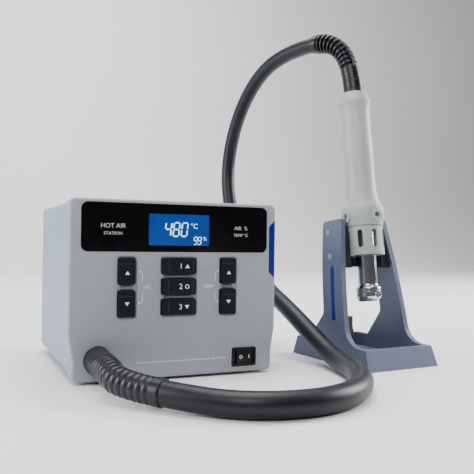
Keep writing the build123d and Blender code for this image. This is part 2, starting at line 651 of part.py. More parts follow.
def make_boot(name, path, root_r, end_r, cuff, rings, ring_from, ring_to):
    """A cuff, a run of rings on a thinner sleeve, and an end cuff, all along the path."""
    length = path.length
    pieces = [swept_tube(path, end_r - 1.2)]
    sections = [(0.0, 2.5, root_r)]
    steps = 5
    for i in range(steps):
        share = i / steps
        radius = root_r + (end_r - root_r) * share - 0.5
        sections.append((2.5 + cuff * share, 2.5 + cuff * (i + 1) / steps, radius))
    pitch = (ring_to - ring_from) / rings
    for i in range(rings):
        low = ring_from + pitch * i
        sections.append((low, low + pitch * 0.55, end_r))
    sections.append((length - 7.0, length, end_r + 0.2))
    for low, high, radius in sections:
        mid = (low + high) / 2 / length
        plane = Plane(origin=path @ mid, z_dir=path % mid)
        pieces.append(plane.location * Cylinder(radius, high - low))
    body = joined(pieces)
    ends = Plane(origin=path @ 1, z_dir=path % 1).location * Pos(0, 0, 20) * Box(80, 80, 40)
    starts = Plane(origin=path @ 0, z_dir=path % 0).location * Pos(0, 0, -20) * Box(80, 80, 40)
    body = body - ends - starts - swept_tube(path, BOOT_BORE)
    save(name, body)


def make_boots(route):
    start = Vector(OUTLET_X, FRONT, OUTLET_Z)
    along = (route[1] - route[0]).normalized()
    path = boot_path(start, Vector(0, -1, 0), route[0], along, 36)
    print("unit boot length", round(path.length, 1))
    make_boot("hose_boot_unit", path, UNIT_BOOT_R, UNIT_BOOT_END_R, 22, 11, 28, path.length - 8)
    top = HANDSET * Location((0, 0, CAP_HIGH))
    up = (HANDSET * Location((0, 0, CAP_HIGH + 1))).position - top.position
    back = (route[-2] - route[-1]).normalized()
    path = boot_path(top.position, up, route[-1], back, 26)
    print("handset boot length", round(path.length, 1))
    make_boot("hose_boot_handset", path, HAND_BOOT_R, HAND_BOOT_END_R, 22, 10, 28, path.length - 8)


# ================================================================ handset
def tube(outer, inner, low, high):
    return Pos(0, 0, (low + high) / 2) * (Cylinder(outer, high - low) - Cylinder(inner, high - low + 1))


def around(turn, radius, height, shape):
    """Put a shape drawn along +X on a ring round the axis. Turn 0 faces the front."""
    return Rot(0, 0, turn - 90) * Pos(radius, 0, height) * shape


def make_handset():
    barrel = tube(BARREL_R, BARREL_R - BARREL_WALL, NOZZLE_END + 1, COLLAR_WIDE + 3)
    clamp = turned([(BARREL_R, NOZZLE_END), (9.9, NOZZLE_END), (CLAMP_R - 0.7, NOZZLE_END + 2.4),
                    (CLAMP_R, NOZZLE_END + 4), (CLAMP_R, NOZZLE_END + 7.6), (CLAMP_R - 0.6, NOZZLE_END + 8),
                    (CLAMP_R - 0.6, NOZZLE_END + 8.6), (CLAMP_R, NOZZLE_END + 9), (CLAMP_R, NOZZLE_END + 10),
                    (CLAMP_R - 0.7, NOZZLE_END + 10.4), (CLAMP_R - 0.7, NOZZLE_END + 11),
                    (CLAMP_R - 0.1, NOZZLE_END + 11.4), (CLAMP_R - 0.4, NOZZLE_END + 12.2),
                    (10.0, CLAMP_TOP - 1), (BARREL_R, CLAMP_TOP)])
    boss = around(0, CLAMP_R - 1.2, NOZZLE_END + 5.6, Rot(0, 90, 0) * Cylinder(2.6, 4.4))
    clamp = clamp + boss - Pos(0, 0, NOZZLE_END + 6) * Cylinder(BARREL_R, 30)
    clamp = clamp - around(0, CLAMP_R, NOZZLE_END + 5.6, Rot(0, 90, 0) * Cylinder(1.5, 12))
    save("nozzle_clamp", HANDSET * clamp)
    screw = around(0, CLAMP_R - 1.0, NOZZLE_END + 5.6, Rot(0, 90, 0) * Cylinder(1.4, 3.2))
    screw = screw - around(0, CLAMP_R + 0.4, NOZZLE_END + 5.6, Rot(0, 90, 0) * Cylinder(0.7, 2.0))
    save("clamp_screw", HANDSET * screw)
    save("heater_barrel", HANDSET * barrel)
    guard = tube(GUARD_R, GUARD_R - GUARD_WALL, GUARD_LOW, GUARD_HIGH - 0.6)
    slot_face = Plane.YZ * SlotOverall(SLOT_H, SLOT_W, rotation=90)
    slot = extrude(slot_face, 5, both=True)
    middle = (GUARD_LOW + GUARD_HIGH) / 2 + 1.4
    for i in range(SLOTS):
        guard = guard - around(SLOT_TURN + 360 * i / SLOTS, GUARD_R, middle, slot)
    save("heater_guard", HANDSET * guard)
    inner = GUARD_R - GUARD_WALL
    collar = turned([(inner, GUARD_HIGH), (GUARD_R + 0.3, GUARD_HIGH), (COLLAR_R - 0.3, COLLAR_WIDE - 1.4),
                     (COLLAR_R, COLLAR_WIDE), (COLLAR_R, COLLAR_WIDE + 1.6), (COLLAR_R - 0.5, COLLAR_HIGH),
                     (BARREL_R + 0.2, COLLAR_HIGH), (BARREL_R + 0.2, COLLAR_HIGH - 2),
                     (inner, COLLAR_HIGH - 4)])
    collar = collar + tube(inner, inner - 1.2, GUARD_HIGH - 4, COLLAR_HIGH - 4)
    screws = []
    for turn in (0, 90, 180, 270):
        boss = around(turn, COLLAR_R - 2.2, 132.6, Rot(0, 90, 0) * Cylinder(BOSS_R, 5.0))
        hole = around(turn, COLLAR_R, 132.6, Rot(0, 90, 0) * Cylinder(2.6, 5.2))
        collar = collar + boss
        collar = collar - hole
        pin = around(turn, COLLAR_R - 2.2, 132.6, Rot(0, 90, 0) * Cylinder(2.3, 0.8))
        screws.append(pin - around(turn, COLLAR_R - 1.6, 132.6, Box(1.2, 3.4, 0.7)))
    save("handset_collar", HANDSET * collar)
    save("collar_screws", *[HANDSET * s for s in screws])
    third = (GRIP_HIGH - GRIP_LOW) / 3
    slope = (GRIP_LOW_R - GRIP_HIGH_R) / 3
    outer = [(COLLAR_R - 0.6, COLLAR_HIGH), (COLLAR_R - 2.0, COLLAR_HIGH + 2.5),
             (GRIP_LOW_R + 1.0, GRIP_LOW - 7), (GRIP_LOW_R, GRIP_LOW),
             (GRIP_LOW_R - slope, GRIP_LOW + third), (GRIP_LOW_R - 2 * slope, GRIP_LOW + 2 * third),
             (GRIP_HIGH_R, GRIP_HIGH), (GRIP_HIGH_R + 0.2, GRIP_HIGH + 7), (CAP_R, CAP_LOW)]
    inside = [(max(r - GRIP_WALL, 9.8), z) for r, z in reversed(outer)]
    curve = Spline(*outer)
    ring = make_face([curve, Polyline(outer[-1], *inside, outer[0])])
    shell = revolve(Plane.XZ * ring, Axis.Z)
    half = Rot(0, 0, SEAM_TURN) * Pos(50, 0, 200) * Box(100, 200, 200)
    save("grip_shell_left", HANDSET * (shell - half))
    save("grip_shell_right", HANDSET * (shell & half))
    cap = turned([(CAP_R, CAP_LOW), (CAP_R, CAP_LOW + 1.2), (CAP_R - 0.8, CAP_LOW + 3.2),
                  (HAND_BOOT_R + 2.6, CAP_HIGH - 1.0),
                  (HAND_BOOT_R + 1.8, CAP_HIGH), (BOOT_BORE, CAP_HIGH), (BOOT_BORE, CAP_LOW)])
    save("grip_cap", HANDSET * cap)
    core = tube(HEATER_R, 2.2, CLAMP_TOP + 6, COLLAR_WIDE - 6)
    for i in range(6):
        core = core - around(60 * i, 5.2, 100, Cylinder(1.3, 200))
    save("heater_core", HANDSET * core)
    coils = []
    middle = (CLAMP_TOP + COLLAR_WIDE) / 2
    for i in range(6):
        coils.append(HANDSET * around(60 * i, 5.2, middle, Cylinder(1.0, COLLAR_WIDE - CLAMP_TOP - 14)))
    save("heating_wires", *coils)
    probe = Pos(0, 0, middle) * Cylinder(1.2, COLLAR_WIDE - CLAMP_TOP - 4)
    save("thermocouple", HANDSET * probe)


# ================================================================ stand
def wall_band(outer_shift, inner_shift):
    """Front view of both uprights, between two offsets from their outer curve."""
    foot, middle, top = WALL_HALF
    low = BASE_H - 2
    band = None
    for side in (-1, 1):
        def curve(shift):
            return ThreePointArc((side * (foot + shift), low), (side * (middle + shift), WALL_MID_Z),
                                 (side * (top + shift), WALL_TOP + 2))
        outer, inner = curve(outer_shift), curve(inner_shift)
        face = make_face([outer, inner, Line(outer @ 0, inner @ 0), Line(outer @ 1, inner @ 1)])
        band = face if band is None else band + face
    return band


def wall_side_view():
    """Side view of an upright: it leans back, narrows upwards and spreads into the base."""
    low = BASE_H - 2
    front_y, front_top = WALL_FRONT
    rear_y, rear_z, rear_top = WALL_REAR
    points = [(FOOT_FRONT, low), (FOOT_FRONT, BASE_H - 0.4), (front_y - 2, BASE_H + 1), (front_top, WALL_TOP),
              (rear_top, WALL_TOP - 3), (rear_y, rear_z), (FOOT_REAR, BASE_H), (FOOT_REAR, low)]
    face = outline(points)
    picks = {(points[2]): 20.0, (points[3]): 3.0, (points[4]): 3.0, (points[5]): 8.0}
    for (y, z), radius in picks.items():
        face = fillet(face.vertices().sort_by_distance((y, z, 0))[0], radius)
    return face


def stripe_view():
    """Side view of the coloured stripe, parallel to the upright's lean."""
    lean = tan(radians(10.5))
    y0 = 49.0
    points = [(y0, STRIPE_LOW), (y0 + STRIPE_W, STRIPE_LOW)]
    high = STRIPE_HIGH - STRIPE_LOW
    points += [(y0 + STRIPE_W + lean * (high - 4), STRIPE_HIGH - 4),
               (y0 + STRIPE_W / 2 + lean * high, STRIPE_HIGH),
               (y0 + lean * (high - 4), STRIPE_HIGH - 4)]
    return outline(points)


def make_stand():
    bottom = Pos(0, BASE_D / 2) * Rectangle(BASE_W, BASE_D)
    top_d = BASE_D - BASE_FRONT_SLOPE - BASE_REAR_SLOPE
    top_y = BASE_FRONT_SLOPE + top_d / 2
    top = Pos(0, top_y, BASE_H) * Rectangle(BASE_W - 2 * BASE_SIDE_SLOPE, top_d)
    base = loft([bottom.face(), top.face()])
    walls = side_plate(wall_side_view(), -BASE_W, BASE_W)
    walls = walls & upright_plate(wall_band(0, -WALL_T), -10, BASE_D + 10)
    body = base + walls
    pocket_w = BASE_W / 2 - BASE_SIDE_SLOPE - BASE_WALL
    pocket = block(-pocket_w, pocket_w, BASE_FRONT_SLOPE + BASE_WALL, BASE_D - BASE_REAR_SLOPE - BASE_WALL,
                   BASE_FLOOR, BASE_H + 5)
    pocket = fillet(pocket.edges().filter_by(Axis.Z), 4.0)
    body = body - pocket
    plate = block(-pocket_w, pocket_w, 14, BASE_D - 14, 1.0, BASE_FLOOR - 2.0)
    body = body - block(-pocket_w - FIT, pocket_w + FIT, 14 - FIT, BASE_D - 14 + FIT, -1, BASE_FLOOR - 2.0)
    stripes = side_plate(stripe_view(), -BASE_W, BASE_W) & upright_plate(wall_band(0, -0.5), -10, BASE_D + 10)
    body = body - stripes
    peg = turned([(0, BASE_FLOOR), (PEG_R + 2.2, BASE_FLOOR), (PEG_R + 1.6, PEG_H - 16), (PEG_R, PEG_H - 9),
                  (PEG_R, PEG_H - 0.6), (PEG_R - 0.6, PEG_H), (0, PEG_H)])
    peg = Pos(PEG_X, PEG_Y, 0) * peg
    # The cradle is bolted between the uprights, and is bored to let the guard down along its axis.
    axis = Location((0, AXIS_FOOT, 0), (-LEAN, 0, 0))
    bore = axis * Pos(0, 0, 100) * Cylinder(GUARD_R + 0.8, 200)
    slide_way = axis * Pos(0, -30, 100) * Box(2 * (GUARD_R + 0.8), 60, 200)
    space = upright_plate(wall_band(-WALL_T, -WALL_T - 40), -10, BASE_D + 10)
    shape = outline([(50.5, CRADLE_LOW), (73.5, CRADLE_LOW), (79.5, CRADLE_HIGH), (57.0, CRADLE_HIGH)])
    cradle = side_plate(shape, -BASE_W, BASE_W) & space
    cradle = cradle - bore - slide_way
    lining = wall_band(-WALL_T, -WALL_T - CRADLE_LINING)
    cheek = outline([(48.0, CRADLE_LOW + 3), (64, CRADLE_LOW + 3), (72, WALL_TOP - 1.5),
                     (60.0, WALL_TOP - 1.5)])
    cheeks = side_plate(cheek, -BASE_W, BASE_W) & upright_plate(lining, -10, BASE_D + 10)
    cradle = cradle + cheeks
    seat = axis * Pos(0, 0, 132.6) * Rot(0, 90, 0)
    notch = seat * Cylinder(BOSS_R + 0.3, 2 * COLLAR_R + 1.4)
    rise = seat * Pos(-15, 0, 0) * Box(30, 2 * (BOSS_R + 0.3), 2 * COLLAR_R + 1.4)
    cone = turned([(0, GUARD_HIGH - 2), (GUARD_R + 0.1, GUARD_HIGH - 2), (COLLAR_R + 0.3, COLLAR_WIDE - 1.4),
                   (COLLAR_R + 0.3, COLLAR_WIDE + 20), (0, COLLAR_WIDE + 20)])
    cradle = cradle - notch - rise - axis * cone - bore
    screws = []
    for side in (-1, 1):
        for y, z in ((66.0, 95.0), (74.0, 117.0)):
            x = side * (WALL_HALF[1] - (z - WALL_MID_Z) * 0.155)
            head = rod_x(2.6, y, z, x - 0.6, x + 0.6)
            cut = rod_x(2.7, y, z, x - 1.4, x + 4)
            body = body - cut - rod_x(1.4, y, z, x - 9, x + 9)
            cradle = cradle - rod_x(1.4, y, z, x - 11, x + 11)
            shank = rod_x(1.35, y, z, min(x, x - side * 9), max(x, x - side * 9))
            screws.append(head + shank)
    feet = []
    for sx in (-1, 1):
        for y in (10.5, BASE_D - 9.0):
            x = sx * (BASE_W / 2 - 11)
            body = body - post(4.2, x, y, -1, 1.0)
            feet.append(post(4.0, x, y, 0, 1.0))
    save("stand_body", STAND * body)
    save("stand_cradle", STAND * cradle)
    save("stand_stripes", STAND * stripes)
    save("stand_ballast", STAND * plate)
    save("nozzle_peg", STAND * peg)
    save("stand_screws", *[STAND * s for s in screws])
    save("stand_feet", *[STAND * f for f in feet])


def main():
    make_bezel()
    make_trim()
    make_window()
    display_spacers = make_display()
    make_keys()
    switch_tabs = make_rocker_switch()
    make_case()
    make_blower()
    make_transformer()
    make_control_board(display_spacers)
    make_mains_inlet(switch_tabs)
    make_handset()
    make_stand()
    origin = footprint_middle()
    print("final origin", round(origin.X, 3), round(origin.Y, 3))
    up = (HANDSET * Location((0, 0, 1))).position - HANDSET.position
    print("handset axis", [round(v, 6) for v in up])
    route = [Vector(*point) + origin for point in HOSE_ROUTE]
    make_hose(route)
    make_boots(route)
    os.makedirs("parts", exist_ok=True)
    for name, piece in parts.items():
        export_step(placed(piece, Pos(-origin.X, -origin.Y, 0)), f"parts/{name}.step")
    print(len(parts), "nodes")


main()
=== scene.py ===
"""Hot air station: finishes, hose, boots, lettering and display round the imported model."""

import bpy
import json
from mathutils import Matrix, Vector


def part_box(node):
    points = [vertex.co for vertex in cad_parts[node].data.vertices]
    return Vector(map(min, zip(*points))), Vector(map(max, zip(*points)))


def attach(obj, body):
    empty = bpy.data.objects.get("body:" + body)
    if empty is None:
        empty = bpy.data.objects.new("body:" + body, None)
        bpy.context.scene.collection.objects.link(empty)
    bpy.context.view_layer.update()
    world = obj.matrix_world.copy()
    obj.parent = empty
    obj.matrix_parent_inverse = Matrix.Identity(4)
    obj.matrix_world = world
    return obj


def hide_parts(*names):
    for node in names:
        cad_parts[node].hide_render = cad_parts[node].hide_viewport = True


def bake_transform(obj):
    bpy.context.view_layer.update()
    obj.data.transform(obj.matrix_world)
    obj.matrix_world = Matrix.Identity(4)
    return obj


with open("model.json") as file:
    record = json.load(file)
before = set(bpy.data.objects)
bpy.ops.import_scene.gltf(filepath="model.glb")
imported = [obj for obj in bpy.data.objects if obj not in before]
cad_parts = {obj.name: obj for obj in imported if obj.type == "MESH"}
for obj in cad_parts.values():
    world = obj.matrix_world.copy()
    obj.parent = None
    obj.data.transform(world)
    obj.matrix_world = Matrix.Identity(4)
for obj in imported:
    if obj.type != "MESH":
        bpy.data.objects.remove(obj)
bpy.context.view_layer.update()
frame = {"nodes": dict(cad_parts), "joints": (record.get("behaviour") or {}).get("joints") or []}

import json
import math
import bmesh
import bpy
import numpy as np
from bpy.props import FloatProperty, FloatVectorProperty, PointerProperty
from mathutils import Matrix, Vector

bl_info = {
    "name": "Hot air station",
    "version": (1, 0, 0),
    "blender": (4, 5, 0),
    "location": "3D View > Sidebar > Station",
    "description": "Builds the visible pieces and finishes of a hot air station",
    "category": "Object",
}

MM = 0.001
BEZEL_LOW, BEZEL_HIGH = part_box("front_bezel")
UNIT_X = (BEZEL_LOW.x + BEZEL_HIGH.x) / 2
PANEL_Y = BEZEL_LOW.y
KEYS = [name for name in frame["nodes"] if name.startswith("key_") and name != "key_switches"]

HOSE_ROUTE = [
    (-0.112, -0.158, 0.0106), (-0.088, -0.188, 0.0087), (-0.054, -0.205, 0.0086), (-0.014, -0.204, 0.0086),
    (0.022, -0.181, 0.0086), (0.052, -0.132, 0.0086), (0.062, -0.079, 0.009), (0.057, -0.014, 0.042),
    (0.057, 0.055, 0.066), (0.055, 0.117, 0.118), (0.055, 0.147, 0.181), (0.060, 0.132, 0.246),
    (0.069, 0.089, 0.292), (0.084, 0.044, 0.307), (0.094, 0.015, 0.306),
]
UNIT_BOOT_START = (UNIT_X - 0.062, PANEL_Y, 0.018)
LIFT_AXIS = next(joint["axis"] for joint in frame["joints"] if joint["name"] == "handset_lift")


# ---------------------------------------------------------------- settings
def colour_setting(name, description, default):
    return FloatVectorProperty(name=name, description=description, default=default,
                               subtype="COLOR", size=3, min=0, max=1)


def length_setting(name, description, default):
    return FloatProperty(name=name, description=description, default=default, subtype="DISTANCE",
                         unit="LENGTH", min=0.0001)


class StationSizes(bpy.types.PropertyGroup):
    hose_radius: length_setting("Hose radius", "Radius of the hose at the desk unit's boot", 0.0085)
    hose_end_radius: length_setting("Hose end radius", "Radius of the hose at the handset's boot", 0.0074)
    boot_root: length_setting("Boot root radius", "Radius of the desk unit's boot at the panel", 0.0107)
    print_depth: length_setting("Print depth", "Thickness of printed marks", 0.00012)


class StationColours(bpy.types.PropertyGroup):
    bezel: colour_setting("Front panel", "Light grey moulding", (0.285, 0.30, 0.335))
    case: colour_setting("Steel case", "Light blue-grey powder coat", (0.25, 0.32, 0.41))
    window: colour_setting("Window", "Black glossy window", (0.0015, 0.0015, 0.002))
    lcd: colour_setting("Display", "Backlight of the display", (0.0, 0.030, 0.19))
    digits: colour_setting("Digits", "Digits of the display", (0.55, 0.88, 1.0))
    keys: colour_setting("Keys", "Near-black keys", (0.002, 0.0035, 0.0065))
    prints: colour_setting("Pale print", "Printed marks on the panel", (0.75, 0.77, 0.80))
    legends: colour_setting("Key legends", "White marks on the keys", (0.82, 0.84, 0.86))
    stand: colour_setting("Stand", "Slate blue moulding", (0.095, 0.112, 0.175))
    # The cradle colour is painted shade: near-black navy for the inside of the stand, which is the same slate
    # moulding lying in shade.
    cradle_shade: colour_setting("Cradle", "Dark navy moulding", (0.007, 0.009, 0.016))
    stripe: colour_setting("Stripes", "Royal blue film", (0.002, 0.009, 0.17))
    grip: colour_setting("Grip", "White-grey handle", (0.36, 0.37, 0.38))
    collar: colour_setting("Collar", "Grey-green moulding", (0.33, 0.355, 0.345))
    hose: colour_setting("Hose", "Dark navy rubber", (0.0018, 0.0025, 0.0065))
    floor: colour_setting("Floor", "Pale floor and backdrop", (0.86, 0.86, 0.86))


# ---------------------------------------------------------------- shared effects
def effect_group(name, inputs, outputs):
    """An empty node group with float inputs and named outputs."""
    group = bpy.data.node_groups.new(name, "ShaderNodeTree")
    for label, default in inputs:
        socket = group.interface.new_socket(label, in_out="INPUT", socket_type="NodeSocketFloat")
        socket.default_value = default
    for label in outputs:
        group.interface.new_socket(label, in_out="OUTPUT", socket_type="NodeSocketFloat")
    return group, group.nodes.new("NodeGroupInput"), group.nodes.new("NodeGroupOutput")


def noise(tree, scale, detail=4.0, roughness=0.55):
    """A noise texture on object coordinates; scale is a number or a socket."""
    coordinates = tree.nodes.new("ShaderNodeTexCoord")
    texture = tree.nodes.new("ShaderNodeTexNoise")
    texture.inputs["Detail"].default_value = detail
    texture.inputs["Roughness"].default_value = roughness
    tree.links.new(coordinates.outputs["Object"], texture.inputs["Vector"])
    if isinstance(scale, (int, float)):
        texture.inputs["Scale"].default_value = scale
    else:
        tree.links.new(scale, texture.inputs["Scale"])
    return texture.outputs["Fac"]


def remap(tree, value, low, high, to_low=0.0, to_high=1.0):
    """Value carried from low..high to to_low..to_high, clamped."""
    node = tree.nodes.new("ShaderNodeMapRange")
    for socket, number in zip(("From Min", "From Max", "To Min", "To Max"), (low, high, to_low, to_high)):
        node.inputs[socket].default_value = number
    tree.links.new(value, node.inputs["Value"])
    return node.outputs["Result"]


def calculate(tree, operation, first, second=None):
    node = tree.nodes.new("ShaderNodeMath")
    node.operation = operation
    for socket, value in zip(node.inputs, (first, second)):
        if value is None:
            continue
        if isinstance(value, (int, float)):
            socket.default_value = value
        else:
            tree.links.new(value, socket)
    return node.outputs[0]


def edge_wear_group():
    """Mask of worn edges: how far a rounded normal leaves the true one, broken up by noise."""
    group, given, result = effect_group("Edge wear", [("Amount", 0.5), ("Scale", 300)], ["Mask"])
    bevel = group.nodes.new("ShaderNodeBevel")
    bevel.samples = 4
    bevel.inputs["Radius"].default_value = 0.0006
    geometry = group.nodes.new("ShaderNodeNewGeometry")
    product = group.nodes.new("ShaderNodeVectorMath")
    product.operation = "DOT_PRODUCT"
    group.links.new(bevel.outputs["Normal"], product.inputs[0])
    group.links.new(geometry.outputs["Normal"], product.inputs[1])
    edge = remap(group, product.outputs["Value"], 0.99, 0.85)
    patches = remap(group, noise(group, given.outputs["Scale"]), 0.42, 0.62)
    mask = calculate(group, "MULTIPLY", calculate(group, "MULTIPLY", edge, patches), given.outputs["Amount"])
    group.links.new(mask, result.inputs["Mask"])
    return group


def moulded_grain_group():
    """Fine texture: a height and a tint from two sizes of noise."""
    sizes = [("Scale", 1800), ("Blotch", 25)]
    group, given, result = effect_group("Moulded grain", sizes, ["Height", "Tint"])
    fine = noise(group, given.outputs["Scale"], 3.0)
    broad = noise(group, given.outputs["Blotch"], 5.0, 0.6)
    group.links.new(fine, result.inputs["Height"])
    fine_share = calculate(group, "MULTIPLY", fine, 0.35)
    broad_share = calculate(group, "MULTIPLY", broad, 0.65)
    mixed = calculate(group, "ADD", fine_share, broad_share)
    group.links.new(mixed, result.inputs["Tint"])
    return group


def dust_group():
    """Mask of dust: faces that look up, broken up by noise."""
    group, given, result = effect_group("Dust", [("Amount", 0.3)], ["Mask"])
    geometry = group.nodes.new("ShaderNodeNewGeometry")
    parts = group.nodes.new("ShaderNodeSeparateXYZ")
    group.links.new(geometry.outputs["Normal"], parts.inputs[0])
    upward = remap(group, parts.outputs["Z"], 0.3, 1.0)
    patches = remap(group, noise(group, 140.0, 6.0, 0.7), 0.40, 0.75)
    settled = calculate(group, "MULTIPLY", upward, patches)
    mask = calculate(group, "MULTIPLY", settled, given.outputs["Amount"])
    group.links.new(mask, result.inputs["Mask"])
    return group


def placed_group(tree, name, make, **values):
    node = tree.nodes.new("ShaderNodeGroup")
    node.node_tree = bpy.data.node_groups.get(name) or make()
    for label, value in values.items():
        node.inputs[label].default_value = value
    return node


def mixed_colour(tree, share, first, second):
    """A colour between two: a share of 1 gives the second."""
    node = tree.nodes.new("ShaderNodeMix")
    node.data_type = "RGBA"
    tree.links.new(share, node.inputs["Factor"])
    for socket, value in ((node.inputs[6], first), (node.inputs[7], second)):
        if isinstance(value, tuple):
            socket.default_value = (*value, 1)
        else:
            tree.links.new(value, socket)
    return node.outputs[2]


def shade(colour, factor):
    return tuple(min(1.0, c * factor) for c in colour)


def blank_material(name):
    material = bpy.data.materials.new(name)
    material.use_nodes = True
    return material, material.node_tree, material.node_tree.nodes["Principled BSDF"]


def finish(name, colour, rough, metal=0.0, vary=0.06, grain=1800, bump=0.25, height=0.00004, wear=0.35,
           worn=None, dust=0.12, coat=0.0, coat_rough=0.15, level=0.5):
    """A material of one base colour with grain, blotches, worn edges and dust."""
    if bpy.data.materials.get(name):
        return bpy.data.materials[name]
    colour = tuple(colour)
    material, tree, shader = blank_material(name)
    texture = placed_group(tree, "Moulded grain", moulded_grain_group, Scale=grain)
    tint = remap(tree, texture.outputs["Tint"], 0.32, 0.68)
    base = mixed_colour(tree, tint, shade(colour, 1 - vary), shade(colour, 1 + vary))
    edges = placed_group(tree, "Edge wear", edge_wear_group, Amount=wear)
    base = mixed_colour(tree, edges.outputs["Mask"], base, worn or shade(colour, 1.6))
    specks = placed_group(tree, "Dust", dust_group, Amount=dust)
    base = mixed_colour(tree, specks.outputs["Mask"], base, (0.55, 0.54, 0.52))
    tree.links.new(base, shader.inputs["Base Color"])
    tree.links.new(remap(tree, texture.outputs["Tint"], 0.3, 0.7, max(0.02, rough - 0.06), rough + 0.07),
                   shader.inputs["Roughness"])
    relief = tree.nodes.new("ShaderNodeBump")
    relief.inputs["Strength"].default_value = bump
    relief.inputs["Distance"].default_value = height
    tree.links.new(texture.outputs["Height"], relief.inputs["Height"])
    tree.links.new(relief.outputs["Normal"], shader.inputs["Normal"])
    shader.inputs["Metallic"].default_value = metal
    shader.inputs["Coat Weight"].default_value = coat
    shader.inputs["Coat Roughness"].default_value = coat_rough
    shader.inputs["Specular IOR Level"].default_value = level
    return material


def glowing(name, colour, strength):
    """A lit display colour, with a faint unevenness of the backlight."""
    material, tree, shader = blank_material(name)
    broad = remap(tree, noise(tree, 60.0), 0.3, 0.7)
    lit = mixed_colour(tree, broad, shade(colour, 0.9), shade(colour, 1.1))
    tree.links.new(lit, shader.inputs["Base Color"])
    tree.links.new(lit, shader.inputs["Emission Color"])
    shader.inputs["Emission Strength"].default_value = strength
    shader.inputs["Roughness"].default_value = 0.2
    return material


# ---------------------------------------------------------------- surfaces
def grid_faces(rows, columns, wrap=False):
    """Quads of a grid of rows by columns of points; wrap joins the last column to the first."""
    row, column = np.meshgrid(np.arange(rows - 1), np.arange(columns if wrap else columns - 1), indexing="ij")
    beside = (column + 1) % columns
    start, after = row * columns, (row + 1) * columns
    quads = (start + column, after + column, after + beside, start + beside)
    return np.stack(quads, axis=-1).reshape(-1, 4)


def to_mesh(name, points, faces, angle=35.0):
    """A mesh whose doubles are merged, whose faces point outwards and whose sharp edges are kept."""
    mesh = bpy.data.meshes.new(name)
    mesh.from_pydata(points.reshape(-1, 3).tolist(), [], faces.tolist())
    work = bmesh.new()
    work.from_mesh(mesh)
    bmesh.ops.remove_doubles(work, verts=work.verts, dist=1e-6)
    bmesh.ops.dissolve_degenerate(work, edges=work.edges, dist=1e-7)
    bmesh.ops.recalc_face_normals(work, faces=work.faces)
    work.to_mesh(mesh)
    work.free()
    mesh.shade_smooth()
    mesh.set_sharp_from_angle(angle=math.radians(angle))
    return mesh


def place(name, mesh, material, body=None):
    """A finished object at the origin, riding on a body and taking its finish from a slot."""
    piece = bpy.data.objects.new(name, mesh)
    bpy.context.scene.collection.objects.link(piece)
    mesh.materials.clear()
    mesh.materials.append(material)
    if body:
        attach(piece, body)
    return piece


def route_line(points, count):
    """Evenly spaced points on the smooth line of a route: a NURBS spline through its two ends."""
    curve = bpy.data.curves.new("route", "CURVE")
    curve.dimensions = "3D"
    curve.resolution_u = 24
    spline = curve.splines.new("NURBS")
    spline.points.add(len(points) - 1)
    spline.points.foreach_set("co", np.column_stack([np.array(points), np.ones(len(points))]).ravel())
    spline.order_u = 3
    spline.use_endpoint_u = True
    holder = bpy.data.objects.new("route", curve)
    mesh = bpy.data.meshes.new_from_object(holder)
    line = np.empty(len(mesh.vertices) * 3)
    mesh.vertices.foreach_get("co", line)
    line = line.reshape(-1, 3)
    bpy.data.objects.remove(holder)
    bpy.data.meshes.remove(mesh)
    run = np.concatenate([[0], np.cumsum(np.linalg.norm(np.diff(line, axis=0), axis=1))])
    even = np.linspace(0, run[-1], count)
    return np.column_stack([np.interp(even, run, line[:, axis]) for axis in range(3)]), even


def across(line, towards):
    """Two unit directions square to the line at each of its points; the first is square to towards."""
    along = np.gradient(line, axis=0)
    along /= np.linalg.norm(along, axis=1)[:, None]
    side = np.cross(along, towards)
    side /= np.linalg.norm(side, axis=1)[:, None]
    return side, np.cross(side, along)


def tube_surface(line, radius, towards, sides=40):
    """Point (s, a) is line(s) + radius(s, a) (cos a side(s) + sin a over(s)); both ends close on the line."""
    side, over = across(line, towards)
    angle = np.linspace(0, 2 * math.pi, sides, endpoint=False)
    if np.ndim(radius) != 2:
        radius = np.asarray(radius)[:, None]
    radius = np.broadcast_to(radius, (len(line), sides))
    ring = side[:, None, :] * np.cos(angle)[None, :, None] + over[:, None, :] * np.sin(angle)[None, :, None]
    points = line[:, None, :] + radius[:, :, None] * ring
    start = np.repeat(line[:1, None, :], sides, axis=1)
    end = np.repeat(line[-1:, None, :], sides, axis=1)
    points = np.concatenate([start, points, end])
    return points, grid_faces(len(points), sides, wrap=True)


def profile_at(distance, stations):
    """Radius along a piece: straight between (distance, radius) stations, in metres."""
    where, size = np.array(stations).T
    return np.interp(distance, where, size)


# ---------------------------------------------------------------- flat marks
def bar(x0, z0, x1, z1, width):
    """A straight printed line: a grid of two points across by two along."""
    direction = np.array([x1 - x0, z1 - z0], float)
    normal = np.array([-direction[1], direction[0]]) / np.linalg.norm(direction) * width / 2
    ends = np.array([[x0, z0], [x1, z1]])
    return np.stack([ends - normal, ends + normal], axis=1)


def disc(x, z, radius, inner=0.0):
    """A disc or ring: the circle of each of two radii."""
    angle = np.linspace(0, 2 * math.pi, 29)
    circle = np.stack([np.cos(angle), np.sin(angle)], axis=-1)
    return np.array([x, z]) + np.stack([circle * inner, circle * radius], axis=1)


def triangle(x, z, width, height, up=True):
    """A filled triangle: its base line and, on the other side, its tip twice."""
    rise = height / 2 if up else -height / 2
    base = np.array([[x - width / 2, z - rise], [x + width / 2, z - rise]])
    return np.stack([base, np.array([[x, z + rise], [x, z + rise]])])


def rounded_frame(x, z, width, height, corner, line):
    """The outline of a rounded rectangle: its points and the same points moved inwards."""
    angle = np.linspace(0, 2 * math.pi, 65)
    turn = np.stack([np.cos(angle), np.sin(angle)], axis=-1)
    middle = np.array([width / 2 - corner, height / 2 - corner]) * np.sign(np.round(turn, 9))
    outer = middle + turn * corner
    inner = middle + turn * (corner - line)
    return np.array([x, z]) + np.stack([inner, outer], axis=1)


